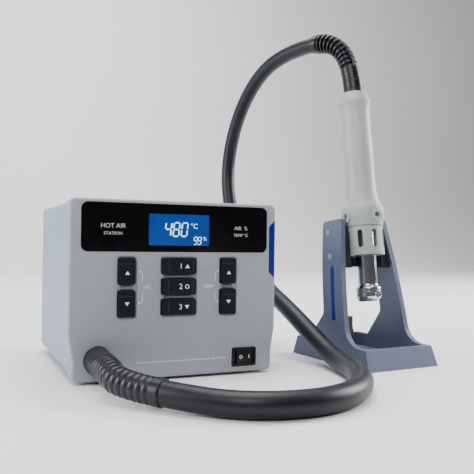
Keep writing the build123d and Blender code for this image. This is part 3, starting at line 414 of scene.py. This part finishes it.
def rounded_plate(x, z, width, height, corner):
    """A filled rounded rectangle: its outline and its middle point."""
    frame_points = rounded_frame(x, z, width, height, corner, 0.00001)[:, 1]
    return np.stack([np.broadcast_to([x, z], frame_points.shape), frame_points], axis=1)


def segments(text, x, z, width, height, pitch, thick):
    """Seven-segment digits: each lit segment is a bar with a gap at its ends."""
    lit = {"0": "abcdef", "1": "bc", "2": "abged", "3": "abgcd", "4": "fgbc", "5": "afgcd",
           "6": "afgedc", "7": "abc", "8": "abcdefg", "9": "abcdfg"}
    lean = 0.12
    marks = []
    for number, digit in enumerate(text):
        left = x + number * pitch
        corners = {"tl": (0, height), "tr": (width, height), "ml": (0, height / 2), "mr": (width, height / 2),
                   "bl": (0, 0), "br": (width, 0)}
        ends = {"a": ("tl", "tr"), "b": ("tr", "mr"), "c": ("mr", "br"), "d": ("bl", "br"), "e": ("bl", "ml"),
                "f": ("ml", "tl"), "g": ("ml", "mr")}
        for segment in lit[digit]:
            (x0, z0), (x1, z1) = (corners[end] for end in ends[segment])
            x0, x1 = left + x0 + z0 * lean, left + x1 + z1 * lean
            trim = thick * 0.58 / math.hypot(x1 - x0, z1 - z0)
            dx, dz = (x1 - x0) * trim, (z1 - z0) * trim
            marks.append(bar(x0 + dx, z + z0 + dz, x1 - dx, z + z1 - dz, thick))
    return marks


def lettering(text, x, z, size, depth):
    """A line of text as a closed mesh in the panel's plane, centred on (x, z)."""
    curve = bpy.data.curves.new("lettering", "FONT")
    curve.body = text
    curve.size = size
    curve.align_x = "CENTER"
    curve.align_y = "CENTER"
    curve.extrude = depth / 2
    curve.resolution_u = 4
    holder = bpy.data.objects.new("lettering", curve)
    mesh = bpy.data.meshes.new_from_object(holder)
    bpy.data.objects.remove(holder)
    mesh.transform(Matrix.Translation((x, 0, z)) @ Matrix.Rotation(math.pi / 2, 4, "X"))
    return mesh


def printed(name, material, y, grids=(), texts=(), body="station", depth=None):
    """Marks that stand a print's depth out of a face at y that looks to -Y."""
    depth = depth or bpy.context.scene.station_sizes.print_depth
    work = bmesh.new()
    for grid in grids:
        rows, columns = grid.shape[:2]
        points = np.stack([grid[..., 0], np.full((rows, columns), y), grid[..., 1]], axis=-1)
        flat = bpy.data.meshes.new("flat")
        flat.from_pydata(points.reshape(-1, 3).tolist(), [], grid_faces(rows, columns).tolist())
        work.from_mesh(flat)
        bpy.data.meshes.remove(flat)
    bmesh.ops.remove_doubles(work, verts=work.verts, dist=2e-6)
    bmesh.ops.dissolve_degenerate(work, edges=work.edges, dist=1e-7)
    raised = bmesh.ops.extrude_face_region(work, geom=list(work.faces), use_keep_orig=True)
    moved = [item for item in raised["geom"] if isinstance(item, bmesh.types.BMVert)]
    bmesh.ops.translate(work, verts=moved, vec=(0, -depth, 0))
    for text, x, z, size in texts:
        letters = lettering(text, x, z, size, depth)
        letters.transform(Matrix.Translation((0, y - depth / 2, 0)))
        work.from_mesh(letters)
        bpy.data.meshes.remove(letters)
    bmesh.ops.remove_doubles(work, verts=work.verts, dist=1e-7)
    bmesh.ops.recalc_face_normals(work, faces=work.faces)
    mesh = bpy.data.meshes.new(name)
    work.to_mesh(mesh)
    work.free()
    return place(name, mesh, material, body)


def dress(material, *names):
    """Give CAD nodes a material."""
    for name in names:
        node = frame["nodes"][name]
        if not node.material_slots:
            node.data.materials.append(material)
        for slot in node.material_slots:
            slot.material = material


# ---------------------------------------------------------------- operators
class StationStage(bpy.types.Operator):
    """Floor and backdrop in one sweep, soft lights, and the camera"""
    bl_idname = "station.stage"
    bl_label = "Stage"

    def execute(self, context):
        """The sweep's profile is a level run, a quarter circle and an upright run, carried along X."""
        bend = np.linspace(0, math.pi / 2, 25)
        level = np.array([[-3.0, 0.0]])
        curve = np.stack([1.6 + 0.9 * np.sin(bend), 0.9 - 0.9 * np.cos(bend)], axis=-1)
        profile = np.concatenate([level, curve, [[2.5, 3.5]]])
        across_x = np.linspace(-4, 4, 9)
        points = np.empty((len(profile), len(across_x), 3))
        points[..., 0] = across_x
        points[..., 1:] = profile[:, None, :]
        mesh = bpy.data.meshes.new("sweep")
        mesh.from_pydata(points.reshape(-1, 3).tolist(), [], grid_faces(*points.shape[:2])[:, ::-1].tolist())
        mesh.shade_smooth()
        colours = context.scene.station_colours
        paper = finish("Paper sweep", colours.floor, 0.65, vary=0.008, wear=0, dust=0, bump=0.05)
        place("sweep", mesh, paper)
        world = bpy.data.worlds.new("Soft room")
        world.use_nodes = True
        room = world.node_tree
        direction = room.nodes.new("ShaderNodeSeparateXYZ")
        room.links.new(room.nodes.new("ShaderNodeTexCoord").outputs["Generated"], direction.inputs[0])
        rear = remap(room, direction.outputs["Y"], -0.5, 0.5)
        lit = mixed_colour(room, rear, (0.10, 0.105, 0.11), (0.93, 0.95, 1.0))
        room.links.new(lit, room.nodes["Background"].inputs["Color"])
        room.nodes["Background"].inputs["Strength"].default_value = 0.8
        context.scene.world = world
        for name, spot, target, size, power in (
                ("key", (-0.8, -1.3, 1.3), (0, 0, 0.1), 0.8, 17),
                ("side", (1.5, -0.1, 0.7), (0, 0, 0.12), 0.8, 34),
                ("top", (0.0, 0.1, 1.6), (0, 0, 0), 1.2, 26),
                ("left", (-1.5, 0.2, 0.6), (0, 0, 0.1), 0.8, 20),
                ("backdrop", (0.0, 0.9, 1.8), (0.5, 2.4, 0.6), 1.0, 40)):
            light = bpy.data.lights.new(name, "AREA")
            light.size = size
            light.energy = power
            lamp = bpy.data.objects.new(name, light)
            lamp.location = spot
            lamp.rotation_euler = (Vector(target) - Vector(spot)).to_track_quat("-Z", "Y").to_euler()
            context.scene.collection.objects.link(lamp)
        yaw, pitch, roll = (math.radians(v) for v in (23.763, 0.497, 0.788))
        ahead = Vector((math.sin(yaw) * math.cos(pitch), math.cos(yaw) * math.cos(pitch), math.sin(pitch)))
        right = Vector((math.cos(yaw), -math.sin(yaw), 0))
        up = right.cross(ahead)
        level_x = right * math.cos(roll) + up * math.sin(roll)
        level_y = up * math.cos(roll) - right * math.sin(roll)
        turn = Matrix((level_x, level_y, -ahead)).transposed().to_4x4()
        lens = bpy.data.cameras.new("camera")
        lens.lens = 49.40
        lens.sensor_width = 36
        lens.clip_start = 0.01
        camera = bpy.data.objects.new("camera", lens)
        camera.matrix_world = Matrix.Translation((-0.237126, -0.55189, 0.10644)) @ turn
        context.scene.collection.objects.link(camera)
        context.scene.camera = camera
        return {"FINISHED"}


class StationHose(bpy.types.Operator):
    """Rubber air hose from the desk unit's boot to the handset's boot"""
    bl_idname = "station.hose"
    bl_label = "Hose"

    def execute(self, context):
        """A round section that gets evenly thinner along the route's smooth line."""
        sizes = context.scene.station_sizes
        line, run = route_line(HOSE_ROUTE, 420)
        share = np.clip((run / run[-1] - 0.25) / 0.5, 0, 1)
        radius = sizes.hose_radius + (sizes.hose_end_radius - sizes.hose_radius) * share
        line = line.copy()
        line[:, 2] = np.maximum(line[:, 2], radius + 0.0004)
        points, faces = tube_surface(line, radius, (-1, 0, 1), 40)
        rubber = finish("Hose rubber", context.scene.station_colours.hose, 0.42, vary=0.12, grain=900,
                        bump=0.3, wear=0, dust=0.03, level=0.35)
        hose = place("air_hose", to_mesh("air_hose", points, faces), rubber)
        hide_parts("hose")
        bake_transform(hose)
        return {"FINISHED"}


class StationBoots(bpy.types.Operator):
    """Ringed strain relief boots at both ends of the hose"""
    bl_idname = "station.boots"
    bl_label = "Boots"

    def execute(self, context):
        """Each boot's radius along its line is a row of stations plus a rounded wave for the rings."""
        sizes, colours = context.scene.station_sizes, context.scene.station_colours
        rubber = finish("Boot rubber", shade(tuple(colours.hose), 0.9), 0.36, vary=0.1, grain=1400, wear=0.25,
                        worn=(0.02, 0.023, 0.035), dust=0.03, level=0.4)
        first, second = Vector(HOSE_ROUTE[0]), Vector(HOSE_ROUTE[1])
        root = Vector(UNIT_BOOT_START)
        heading = (second - first).normalized()
        line, run = route_line([root, root + Vector((0, -0.036, 0)), first - heading * 0.036, first], 520)
        length = run[-1]
        low, high = 0.028, length - 0.008
        smooth = profile_at(run, [(0, sizes.boot_root), (0.0022, sizes.boot_root), (0.0026, 0.0101),
                                  (0.026, 0.0097), (0.0275, 0.0090), (low, 0.0086), (high, 0.0084),
                                  (high + 0.0006, 0.0094),
                                  (length - 0.0009, 0.0095), (length, 0.0089)])
        phase = np.clip((run - low) / (high - low), 0, 1) * 11
        wave = np.abs(np.sin(phase * math.pi)) ** 0.45 * ((run > low) & (run < high))
        taper = np.interp(run, [low, high], [0.0014, 0.0009])
        angle = np.linspace(0, 2 * math.pi, 64, endpoint=False)
        ribs = np.maximum(0, np.cos(angle * 32)) * 0.00022
        on_barrel = ((run > 0.004) & (run < 0.025))[:, None]
        radius = (smooth + wave * taper)[:, None] + ribs[None, :] * on_barrel
        points, faces = tube_surface(line, radius, (-1, 0, 1), 64)
        boot = place("unit_boot", to_mesh("unit_boot", points, faces, 50), rubber, "station")
        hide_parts("hose_boot_unit")

        axis = Vector(LIFT_AXIS).normalized()
        top = handset_point(252)
        last, before = Vector(HOSE_ROUTE[-1]), Vector(HOSE_ROUTE[-2])
        back = (before - last).normalized()
        line, run = route_line([top, top + axis * 0.026, last - back * 0.026, last], 460)
        length = run[-1]
        low, high = 0.028, length - 0.008
        smooth = profile_at(run, [(0, 0.0096), (0.003, 0.0094), (0.0032, 0.0091), (0.0042, 0.0091),
                                  (0.0044, 0.0094),
                                  (0.012, 0.0092), (0.0122, 0.0089), (0.013, 0.0089), (0.0132, 0.0091),
                                  (0.026, 0.0088),
                                  (0.0275, 0.0078), (low, 0.0066), (high, 0.0066), (high + 0.0005, 0.0086),
                                  (length - 0.0008, 0.0088), (length, 0.0079)])
        phase = np.clip((run - low) / (high - low), 0, 1) * 10
        thin = np.clip(np.sin(phase * 2 * math.pi - math.pi / 2) * 1.6 - 0.1, 0, 1) ** 0.5
        radius = smooth + thin * 0.0023 * ((run > low) & (run < high))
        points, faces = tube_surface(line, radius, (1, 0, 0.2), 56)
        meshes = [(points, faces)]
        side, _ = across(line, (1, 0, 0.2))
        for sign in (-1, 1):
            rail = (line + side * 0.0084 * sign)[(run > 0.024) & (run < length - 0.004)]
            meshes.append(tube_surface(rail, np.full(len(rail), 0.0009), (1, 0, 0.2), 10))
        counts = np.cumsum([0] + [len(p.reshape(-1, 3)) for p, _ in meshes])
        points = np.concatenate([p.reshape(-1, 3) for p, _ in meshes])
        faces = np.concatenate([f + count for (_, f), count in zip(meshes, counts)])
        mesh = to_mesh("handset_boot", points, faces, 50)
        boot = place("handset_boot", mesh, rubber, "handset")
        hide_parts("hose_boot_handset")
        return {"FINISHED"}


def handset_point(height):
    """A point on the handset's axis at a height along it, in mm from the table."""
    low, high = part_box("nozzle_clamp")
    axis = Vector(LIFT_AXIS).normalized()
    middle = (low + high) / 2
    return middle + axis * (height - 62.65) * MM


class StationUnitFinish(bpy.types.Operator):
    """Finishes of the desk unit's visible pieces"""
    bl_idname = "station.unit_finish"
    bl_label = "Desk unit finishes"

    def execute(self, context):
        colours = context.scene.station_colours
        dress(finish("Panel plastic", colours.bezel, 0.42, vary=0.025, grain=2600, bump=0.2, wear=0.15,
                     dust=0.05),
              "front_bezel")
        dress(finish("Case powder coat", colours.case, 0.5, vary=0.03, grain=1500, bump=0.45, wear=0.3,
                     worn=(0.45, 0.45, 0.46), dust=0.08), "steel_cover", "rear_panel", "chassis_tray")
        dress(finish("Window gloss", colours.window, 0.12, vary=0.1, grain=300, bump=0.02, wear=0.1, dust=0.0,
                     level=0.35), "display_window")
        dress(finish("Key rubber", colours.keys, 0.48, vary=0.15, grain=2400, bump=0.3, wear=0.5,
                     worn=(0.04, 0.042, 0.05), dust=0.04, level=0.2), *KEYS)
        dress(finish("Switch black", (0.004, 0.004, 0.005), 0.35, vary=0.12, wear=0.4,
                     worn=(0.04, 0.04, 0.045),
                     dust=0.05, level=0.25),
              "switch_housing", "switch_rocker", "mains_inlet", "fuse_holder", "fuse_cap")
        dress(finish("Blue film", colours.stripe, 0.25, vary=0.05, grain=500, bump=0.05, wear=0.2,
                     dust=0.0, level=0.3),
              "edge_trim", "stand_stripes")
        dress(finish("Foot rubber", (0.02, 0.02, 0.021), 0.75, vary=0.12, wear=0), "rubber_feet",
              "stand_feet")
        dress(finish("Zinc screws", (0.50, 0.50, 0.49), 0.32, metal=1.0, vary=0.12, grain=600, bump=0.1,
                     wear=0.2,
                     dust=0), "case_screws", "collar_screws", "stand_screws", "clamp_screw")
        return {"FINISHED"}


class StationStandFinish(bpy.types.Operator):
    """Finishes of the holder stand"""
    bl_idname = "station.stand_finish"
    bl_label = "Stand finishes"

    def execute(self, context):
        colours = context.scene.station_colours
        dress(finish("Stand plastic", colours.stand, 0.45, vary=0.06, grain=2000, bump=0.35, wear=0.4,
                     worn=(0.20, 0.23, 0.33), dust=0.1), "stand_body")
        # Near-black navy on the cradle is painted shade for the stand's shaded inside.
        dress(finish("Cradle plastic painted shade", colours.cradle_shade, 0.5, vary=0.1, grain=2000, bump=0.35, wear=0.3,
                     worn=(0.06, 0.07, 0.10), dust=0.08), "stand_cradle")
        dress(finish("Peg plastic", (0.13, 0.11, 0.095), 0.5, wear=0.3), "nozzle_peg")
        dress(finish("Ballast plate", (0.35, 0.35, 0.35), 0.5, metal=1.0), "stand_ballast")
        return {"FINISHED"}


class StationHandsetFinish(bpy.types.Operator):
    """Finishes of the handset"""
    bl_idname = "station.handset_finish"
    bl_label = "Handset finishes"

    def execute(self, context):
        colours = context.scene.station_colours
        dress(finish("Grip plastic", colours.grip, 0.4, vary=0.025, grain=2200, bump=0.2, wear=0.1,
                     dust=0.04),
              "grip_shell_left", "grip_shell_right", "grip_cap")
        dress(finish("Collar plastic", colours.collar, 0.5, vary=0.06, grain=1800, bump=0.4, wear=0.35,
                     worn=(0.42, 0.45, 0.44), dust=0.06), "handset_collar", "heater_guard")
        dress(finish("Polished tube", (0.66, 0.66, 0.66), 0.16, metal=1.0, vary=0.05, grain=240, bump=0.06,
                     wear=0.1,
                     worn=(0.8, 0.8, 0.8), dust=0), "heater_barrel", "nozzle_clamp")
        return {"FINISHED"}


class StationInsideFinish(bpy.types.Operator):
    """Finishes of the pieces inside the case and the handset"""
    bl_idname = "station.inside_finish"
    bl_label = "Inside finishes"

    def execute(self, context):
        dress(finish("Board", (0.01, 0.13, 0.04), 0.35, vary=0.15, grain=400, coat=0.3), "display_board",
              "control_board")
        dress(finish("Moulded black", (0.02, 0.02, 0.022), 0.45, vary=0.15), "air_duct", "blower_housing",
              "blower_impeller", "blower_lid", "board_components", "key_switches", "triac")
        dress(finish("Plain steel", (0.42, 0.42, 0.43), 0.35, metal=1.0, vary=0.1, grain=500), "blower_motor",
              "motor_shaft", "transformer_core", "thermocouple", "heating_wires")
        dress(finish("Copper", (0.60, 0.24, 0.10), 0.3, metal=1.0, vary=0.12, grain=900), "transformer_coil")
        dress(finish("Brass", (0.58, 0.42, 0.15), 0.3, metal=1.0, vary=0.1), "mains_terminals")
        dress(finish("Aluminium", (0.62, 0.62, 0.63), 0.35, metal=1.0, vary=0.06), "heat_sink")
        dress(finish("Ceramic", (0.68, 0.64, 0.56), 0.7, vary=0.06, grain=700, wear=0), "heater_core")
        dress(finish("White plastic", (0.7, 0.7, 0.67), 0.45, vary=0.04), "board_spacers")
        dress(finish("Display module", (0.01, 0.05, 0.2), 0.2, vary=0.08), "lcd_module")
        glass = finish("Fuse glass", (0.85, 0.9, 0.9), 0.08, vary=0.02, wear=0, dust=0)
        glass.node_tree.nodes["Principled BSDF"].inputs["Transmission Weight"].default_value = 0.9
        dress(glass, "glass_fuse")
        return {"FINISHED"}


class StationDisplay(bpy.types.Operator):
    """Lit display with its digits, behind the window"""
    bl_idname = "station.display"
    bl_label = "Display"

    def execute(self, context):
        """The screen is a rounded plate; the digits are leaning seven-segment bars on it."""
        colours = context.scene.station_colours
        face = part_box("display_window")[0].y
        x, z = UNIT_X, 0.1156
        plate = rounded_plate(x, z, 0.049, 0.0242, 0.0006)
        printed("screen", glowing("Screen blue", colours.lcd, 0.6), face, [plate],
                depth=0.0001)
        digits = segments("480", x - 0.0121, z - 0.00485, 0.0046, 0.0105, 0.0066, 0.0010)
        digits += segments("99", x + 0.0115, z - 0.01105, 0.0026, 0.0058, 0.0034, 0.0006)
        printed("screen_digits", glowing("Digit white", colours.digits, 1.0), face - 0.0001, digits,
                [("°C", x + 0.0120, z + 0.0030, 0.0056), ("%", x + 0.0210, z - 0.0067, 0.0042)],
                depth=0.00008)
        pale = finish("Window print", (0.45, 0.47, 0.5), 0.5, wear=0, dust=0)
        printed("window_print", pale, face, [],
                [("HOT AIR", x - 0.052, 0.1178, 0.0048), ("STATION", x - 0.052, 0.1122, 0.0034),
                 ("AIR  %", x + 0.052, 0.1178, 0.0042), ("TEMP °C", x + 0.052, 0.1122, 0.0034)])
        return {"FINISHED"}


class StationKeyLegends(bpy.types.Operator):
    """Digits, triangles and rings on the keys"""
    bl_idname = "station.key_legends"
    bl_label = "Key legends"

    def execute(self, context):
        white = finish("Legend white", context.scene.station_colours.legends, 0.5, vary=0.02, wear=0, dust=0)
        band = finish("Key band", (0.022, 0.023, 0.028), 0.4, vary=0.1, wear=0, dust=0)
        for name in KEYS:
            low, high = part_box(name)
            x, z, face = (low.x + high.x) / 2, (low.z + high.z) / 2, low.y
            width, height = high.x - low.x - 0.002, high.z - low.z - 0.002
            texts, marks = [], []
            if name.startswith("key_air") or name.startswith("key_temp"):
                up = name.endswith("up")
                marks.append(triangle(x, z - (0.0012 if up else 0), 0.0036, 0.0027, up))
                lines = [bar(x - width / 2 + 0.0006, z + height * 0.28, x + width / 2 - 0.0006,
                             z + height * 0.28, 0.0003)]
            else:
                digit = name[-1]
                texts.append((digit, x + 0.0010, z, 0.0058))
                sign = {"1": triangle(x + 0.0062, z, 0.0036, 0.0028, True),
                        "2": disc(x + 0.0062, z, 0.0017, 0.0012),
                        "3": triangle(x + 0.0062, z, 0.0036, 0.0028, False)}[digit]
                marks.append(sign)
                lines = [bar(x - width * 0.32, z - height * 0.42, x - width * 0.32, z + height * 0.42,
                             0.0003),
                         bar(x + width * 0.40, z - height * 0.42, x + width * 0.40, z + height * 0.42,
                             0.0003)]
            body = f"{name}_body"
            printed(f"legend_{name}", white, face, marks, texts, body)
            printed(f"band_{name}", band, face, lines, (), body, 0.00008)
        return {"FINISHED"}


class StationKeyBridges(bpy.types.Operator):
    """Grey bars that bridge the gaps between the keys of a column"""
    bl_idname = "station.key_bridges"
    bl_label = "Key bridges"

    def execute(self, context):
        """Each bar is half a superellipse in section, (cos a)^0.5 by (sin a)^0.5, swept along X."""
        grey = finish("Bridge grey", (0.10, 0.105, 0.115), 0.3, vary=0.05, wear=0.3, dust=0)
        gaps = [("key_air_up", "key_air_down"), ("key_temp_up", "key_temp_down"),
                ("key_1", "key_2"), ("key_2", "key_3")]
        points, faces, count = [], [], 0
        for upper, lower in gaps:
            (low_a, high_a), (_, high_b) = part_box(upper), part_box(lower)
            x0, x1 = low_a.x + 0.0022, high_a.x - 0.0022
            middle, half = (low_a.z + high_b.z) / 2, max(0.0006, (low_a.z - high_b.z) / 2 + 0.0004)
            angle = np.linspace(0, math.pi, 17)
            rise = np.abs(np.sin(angle)) ** 0.5 * 0.0013
            span = np.sign(np.cos(angle)) * np.abs(np.cos(angle)) ** 0.6 * half
            section = np.concatenate([np.stack([PANEL_Y + 0.0004 - rise, middle + span], axis=-1),
                                      [[PANEL_Y + 0.0008, middle - half], [PANEL_Y + 0.0008, middle + half]]])
            along = np.linspace(x0, x1, 12)
            swell = np.clip(1 - ((along - (x0 + x1) / 2) / ((x1 - x0) / 2)) ** 8, 0.25, 1)[:, None]
            grid = np.empty((len(along), len(section), 3))
            grid[..., 0] = along[:, None]
            grid[..., 1] = PANEL_Y + 0.0008 + (section[:, 0] - PANEL_Y - 0.0008) * swell
            grid[..., 2] = middle + (section[:, 1] - middle) * swell
            ends = grid[[0, -1]].mean(axis=1, keepdims=True).repeat(len(section), axis=1)
            grid = np.concatenate([ends[:1], grid, ends[1:]])
            faces.append(grid_faces(len(grid), len(section), wrap=True) + count)
            points.append(grid.reshape(-1, 3))
            count += len(points[-1])
        place("key_bridges", to_mesh("key_bridges", np.concatenate(points), np.concatenate(faces)), grey,
              "station")
        return {"FINISHED"}


class StationPanelPrint(bpy.types.Operator):
    """Printed words, lines and dots on the front panel, and a painted highlight ring round the switch's well
    """
    bl_idname = "station.panel_print"
    bl_label = "Panel print"

    def execute(self, context):
        ink = finish("Panel ink", context.scene.station_colours.prints, 0.5, wear=0, dust=0)
        # The well edge is a painted highlight: a pale ring round the switch's well standing in for light on
        # its rim.
        light = finish("Well edge painted highlight", (0.55, 0.56, 0.58), 0.35, vary=0.03, wear=0, dust=0)
        line = 0.0004
        lines, texts = [], []
        middle, tip_rise, bend_rise, word_gap = 0.07155, 0.0121, 0.0103, 0.0040
        for side, word, out, inward in ((-1, "AIR", 0.0290, 0.0258), (1, "TEMP", 0.0303, 0.0246)):
            x = UNIT_X + side * out
            hook = x + side * 0.0022
            for sign in (-1, 1):
                tip = middle + sign * tip_rise
                bend = middle + sign * bend_rise
                lines += [disc(hook, tip, 0.0007), bar(hook, tip, x, bend, line),
                          bar(x, bend, x, middle + sign * word_gap, line)]
            texts.append((word, UNIT_X + side * inward, middle, 0.0036))
        switch_low, switch_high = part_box("switch_housing")
        z = (switch_low.z + switch_high.z) / 2
        start, end = UNIT_X - 0.0318, UNIT_X + 0.0304
        lines += [disc(start, z, 0.0007), bar(start, z, end, z, line), disc(end, z, 0.0007)]
        texts.append(("POWER", UNIT_X + 0.0366, z, 0.0022))
        printed("panel_print", ink, PANEL_Y, lines, texts)
        # Pale ring round the switch's well: a painted highlight on the well's rim.
        edges = [rounded_frame((switch_low.x + switch_high.x) / 2, z, 0.0226, 0.0166, 0.0012, 0.0004)]
        printed("well_edge_highlight", light, PANEL_Y, edges)
        return {"FINISHED"}


class StationSwitchMarks(bpy.types.Operator):
    """Circle and bar on the mains rocker"""
    bl_idname = "station.switch_marks"
    bl_label = "Switch marks"

    def execute(self, context):
        """Flat marks turned about the rocker's pivot by its tilt and set on each half's face."""
        white = finish("Legend white", context.scene.station_colours.legends, 0.5, vary=0.02, wear=0, dust=0)
        node = frame["nodes"]["switch_rocker"]
        points = np.empty(len(node.data.vertices) * 3)
        node.data.vertices.foreach_get("co", points)
        points = points.reshape(-1, 3)
        low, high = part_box("switch_rocker")
        z = (low.z + high.z) / 2
        left = points[np.argmin(points[:, 1])]
        right = points[points[:, 0] > high.x - 0.0008]
        right = right[np.argmin(right[:, 1])]
        slope = (right[1] - left[1]) / (right[0] - left[0])
        marks = [disc(low.x + 0.0042, z, 0.0014, 0.0010),
                 bar(high.x - 0.0038, z - 0.0014, high.x - 0.0038, z + 0.0014, 0.0005)]
        piece = printed("switch_marks", white, 0.0, marks, (), None)
        mesh = piece.data
        places = np.empty(len(mesh.vertices) * 3)
        mesh.vertices.foreach_get("co", places)
        places = places.reshape(-1, 3)
        places[:, 1] += left[1] + slope * (places[:, 0] - left[0])
        mesh.vertices.foreach_set("co", places.ravel())
        mesh.update()
        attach(piece, "rocker")
        return {"FINISHED"}


class StationPanel(bpy.types.Panel):
    """Settings and pieces of the hot air station"""
    bl_idname = "VIEW3D_PT_station"
    bl_label = "Hot air station"
    bl_space_type = "VIEW_3D"
    bl_region_type = "UI"
    bl_category = "Station"

    def draw(self, context):
        for settings in (context.scene.station_sizes, context.scene.station_colours):
            for name in settings.__annotations__:
                self.layout.prop(settings, name)
        for operator in OPERATORS:
            self.layout.operator(operator.bl_idname)


OPERATORS = (StationStage, StationHose, StationBoots, StationUnitFinish, StationStandFinish,
             StationHandsetFinish,
             StationInsideFinish, StationDisplay, StationKeyLegends, StationKeyBridges, StationPanelPrint,
             StationSwitchMarks)
CLASSES = (StationSizes, StationColours, *OPERATORS, StationPanel)


def register():
    for item in CLASSES:
        bpy.utils.register_class(item)
    bpy.types.Scene.station_sizes = PointerProperty(type=StationSizes)
    bpy.types.Scene.station_colours = PointerProperty(type=StationColours)


def unregister():
    del bpy.types.Scene.station_sizes
    del bpy.types.Scene.station_colours
    for item in reversed(CLASSES):
        bpy.utils.unregister_class(item)


def main():
    register()
    station = bpy.ops.station
    for build in (station.stage, station.hose, station.boots, station.unit_finish, station.stand_finish,
                  station.handset_finish, station.inside_finish, station.display, station.key_legends,
                  station.key_bridges, station.panel_print, station.switch_marks):
        build()


if __name__ == "__main__":
    main()
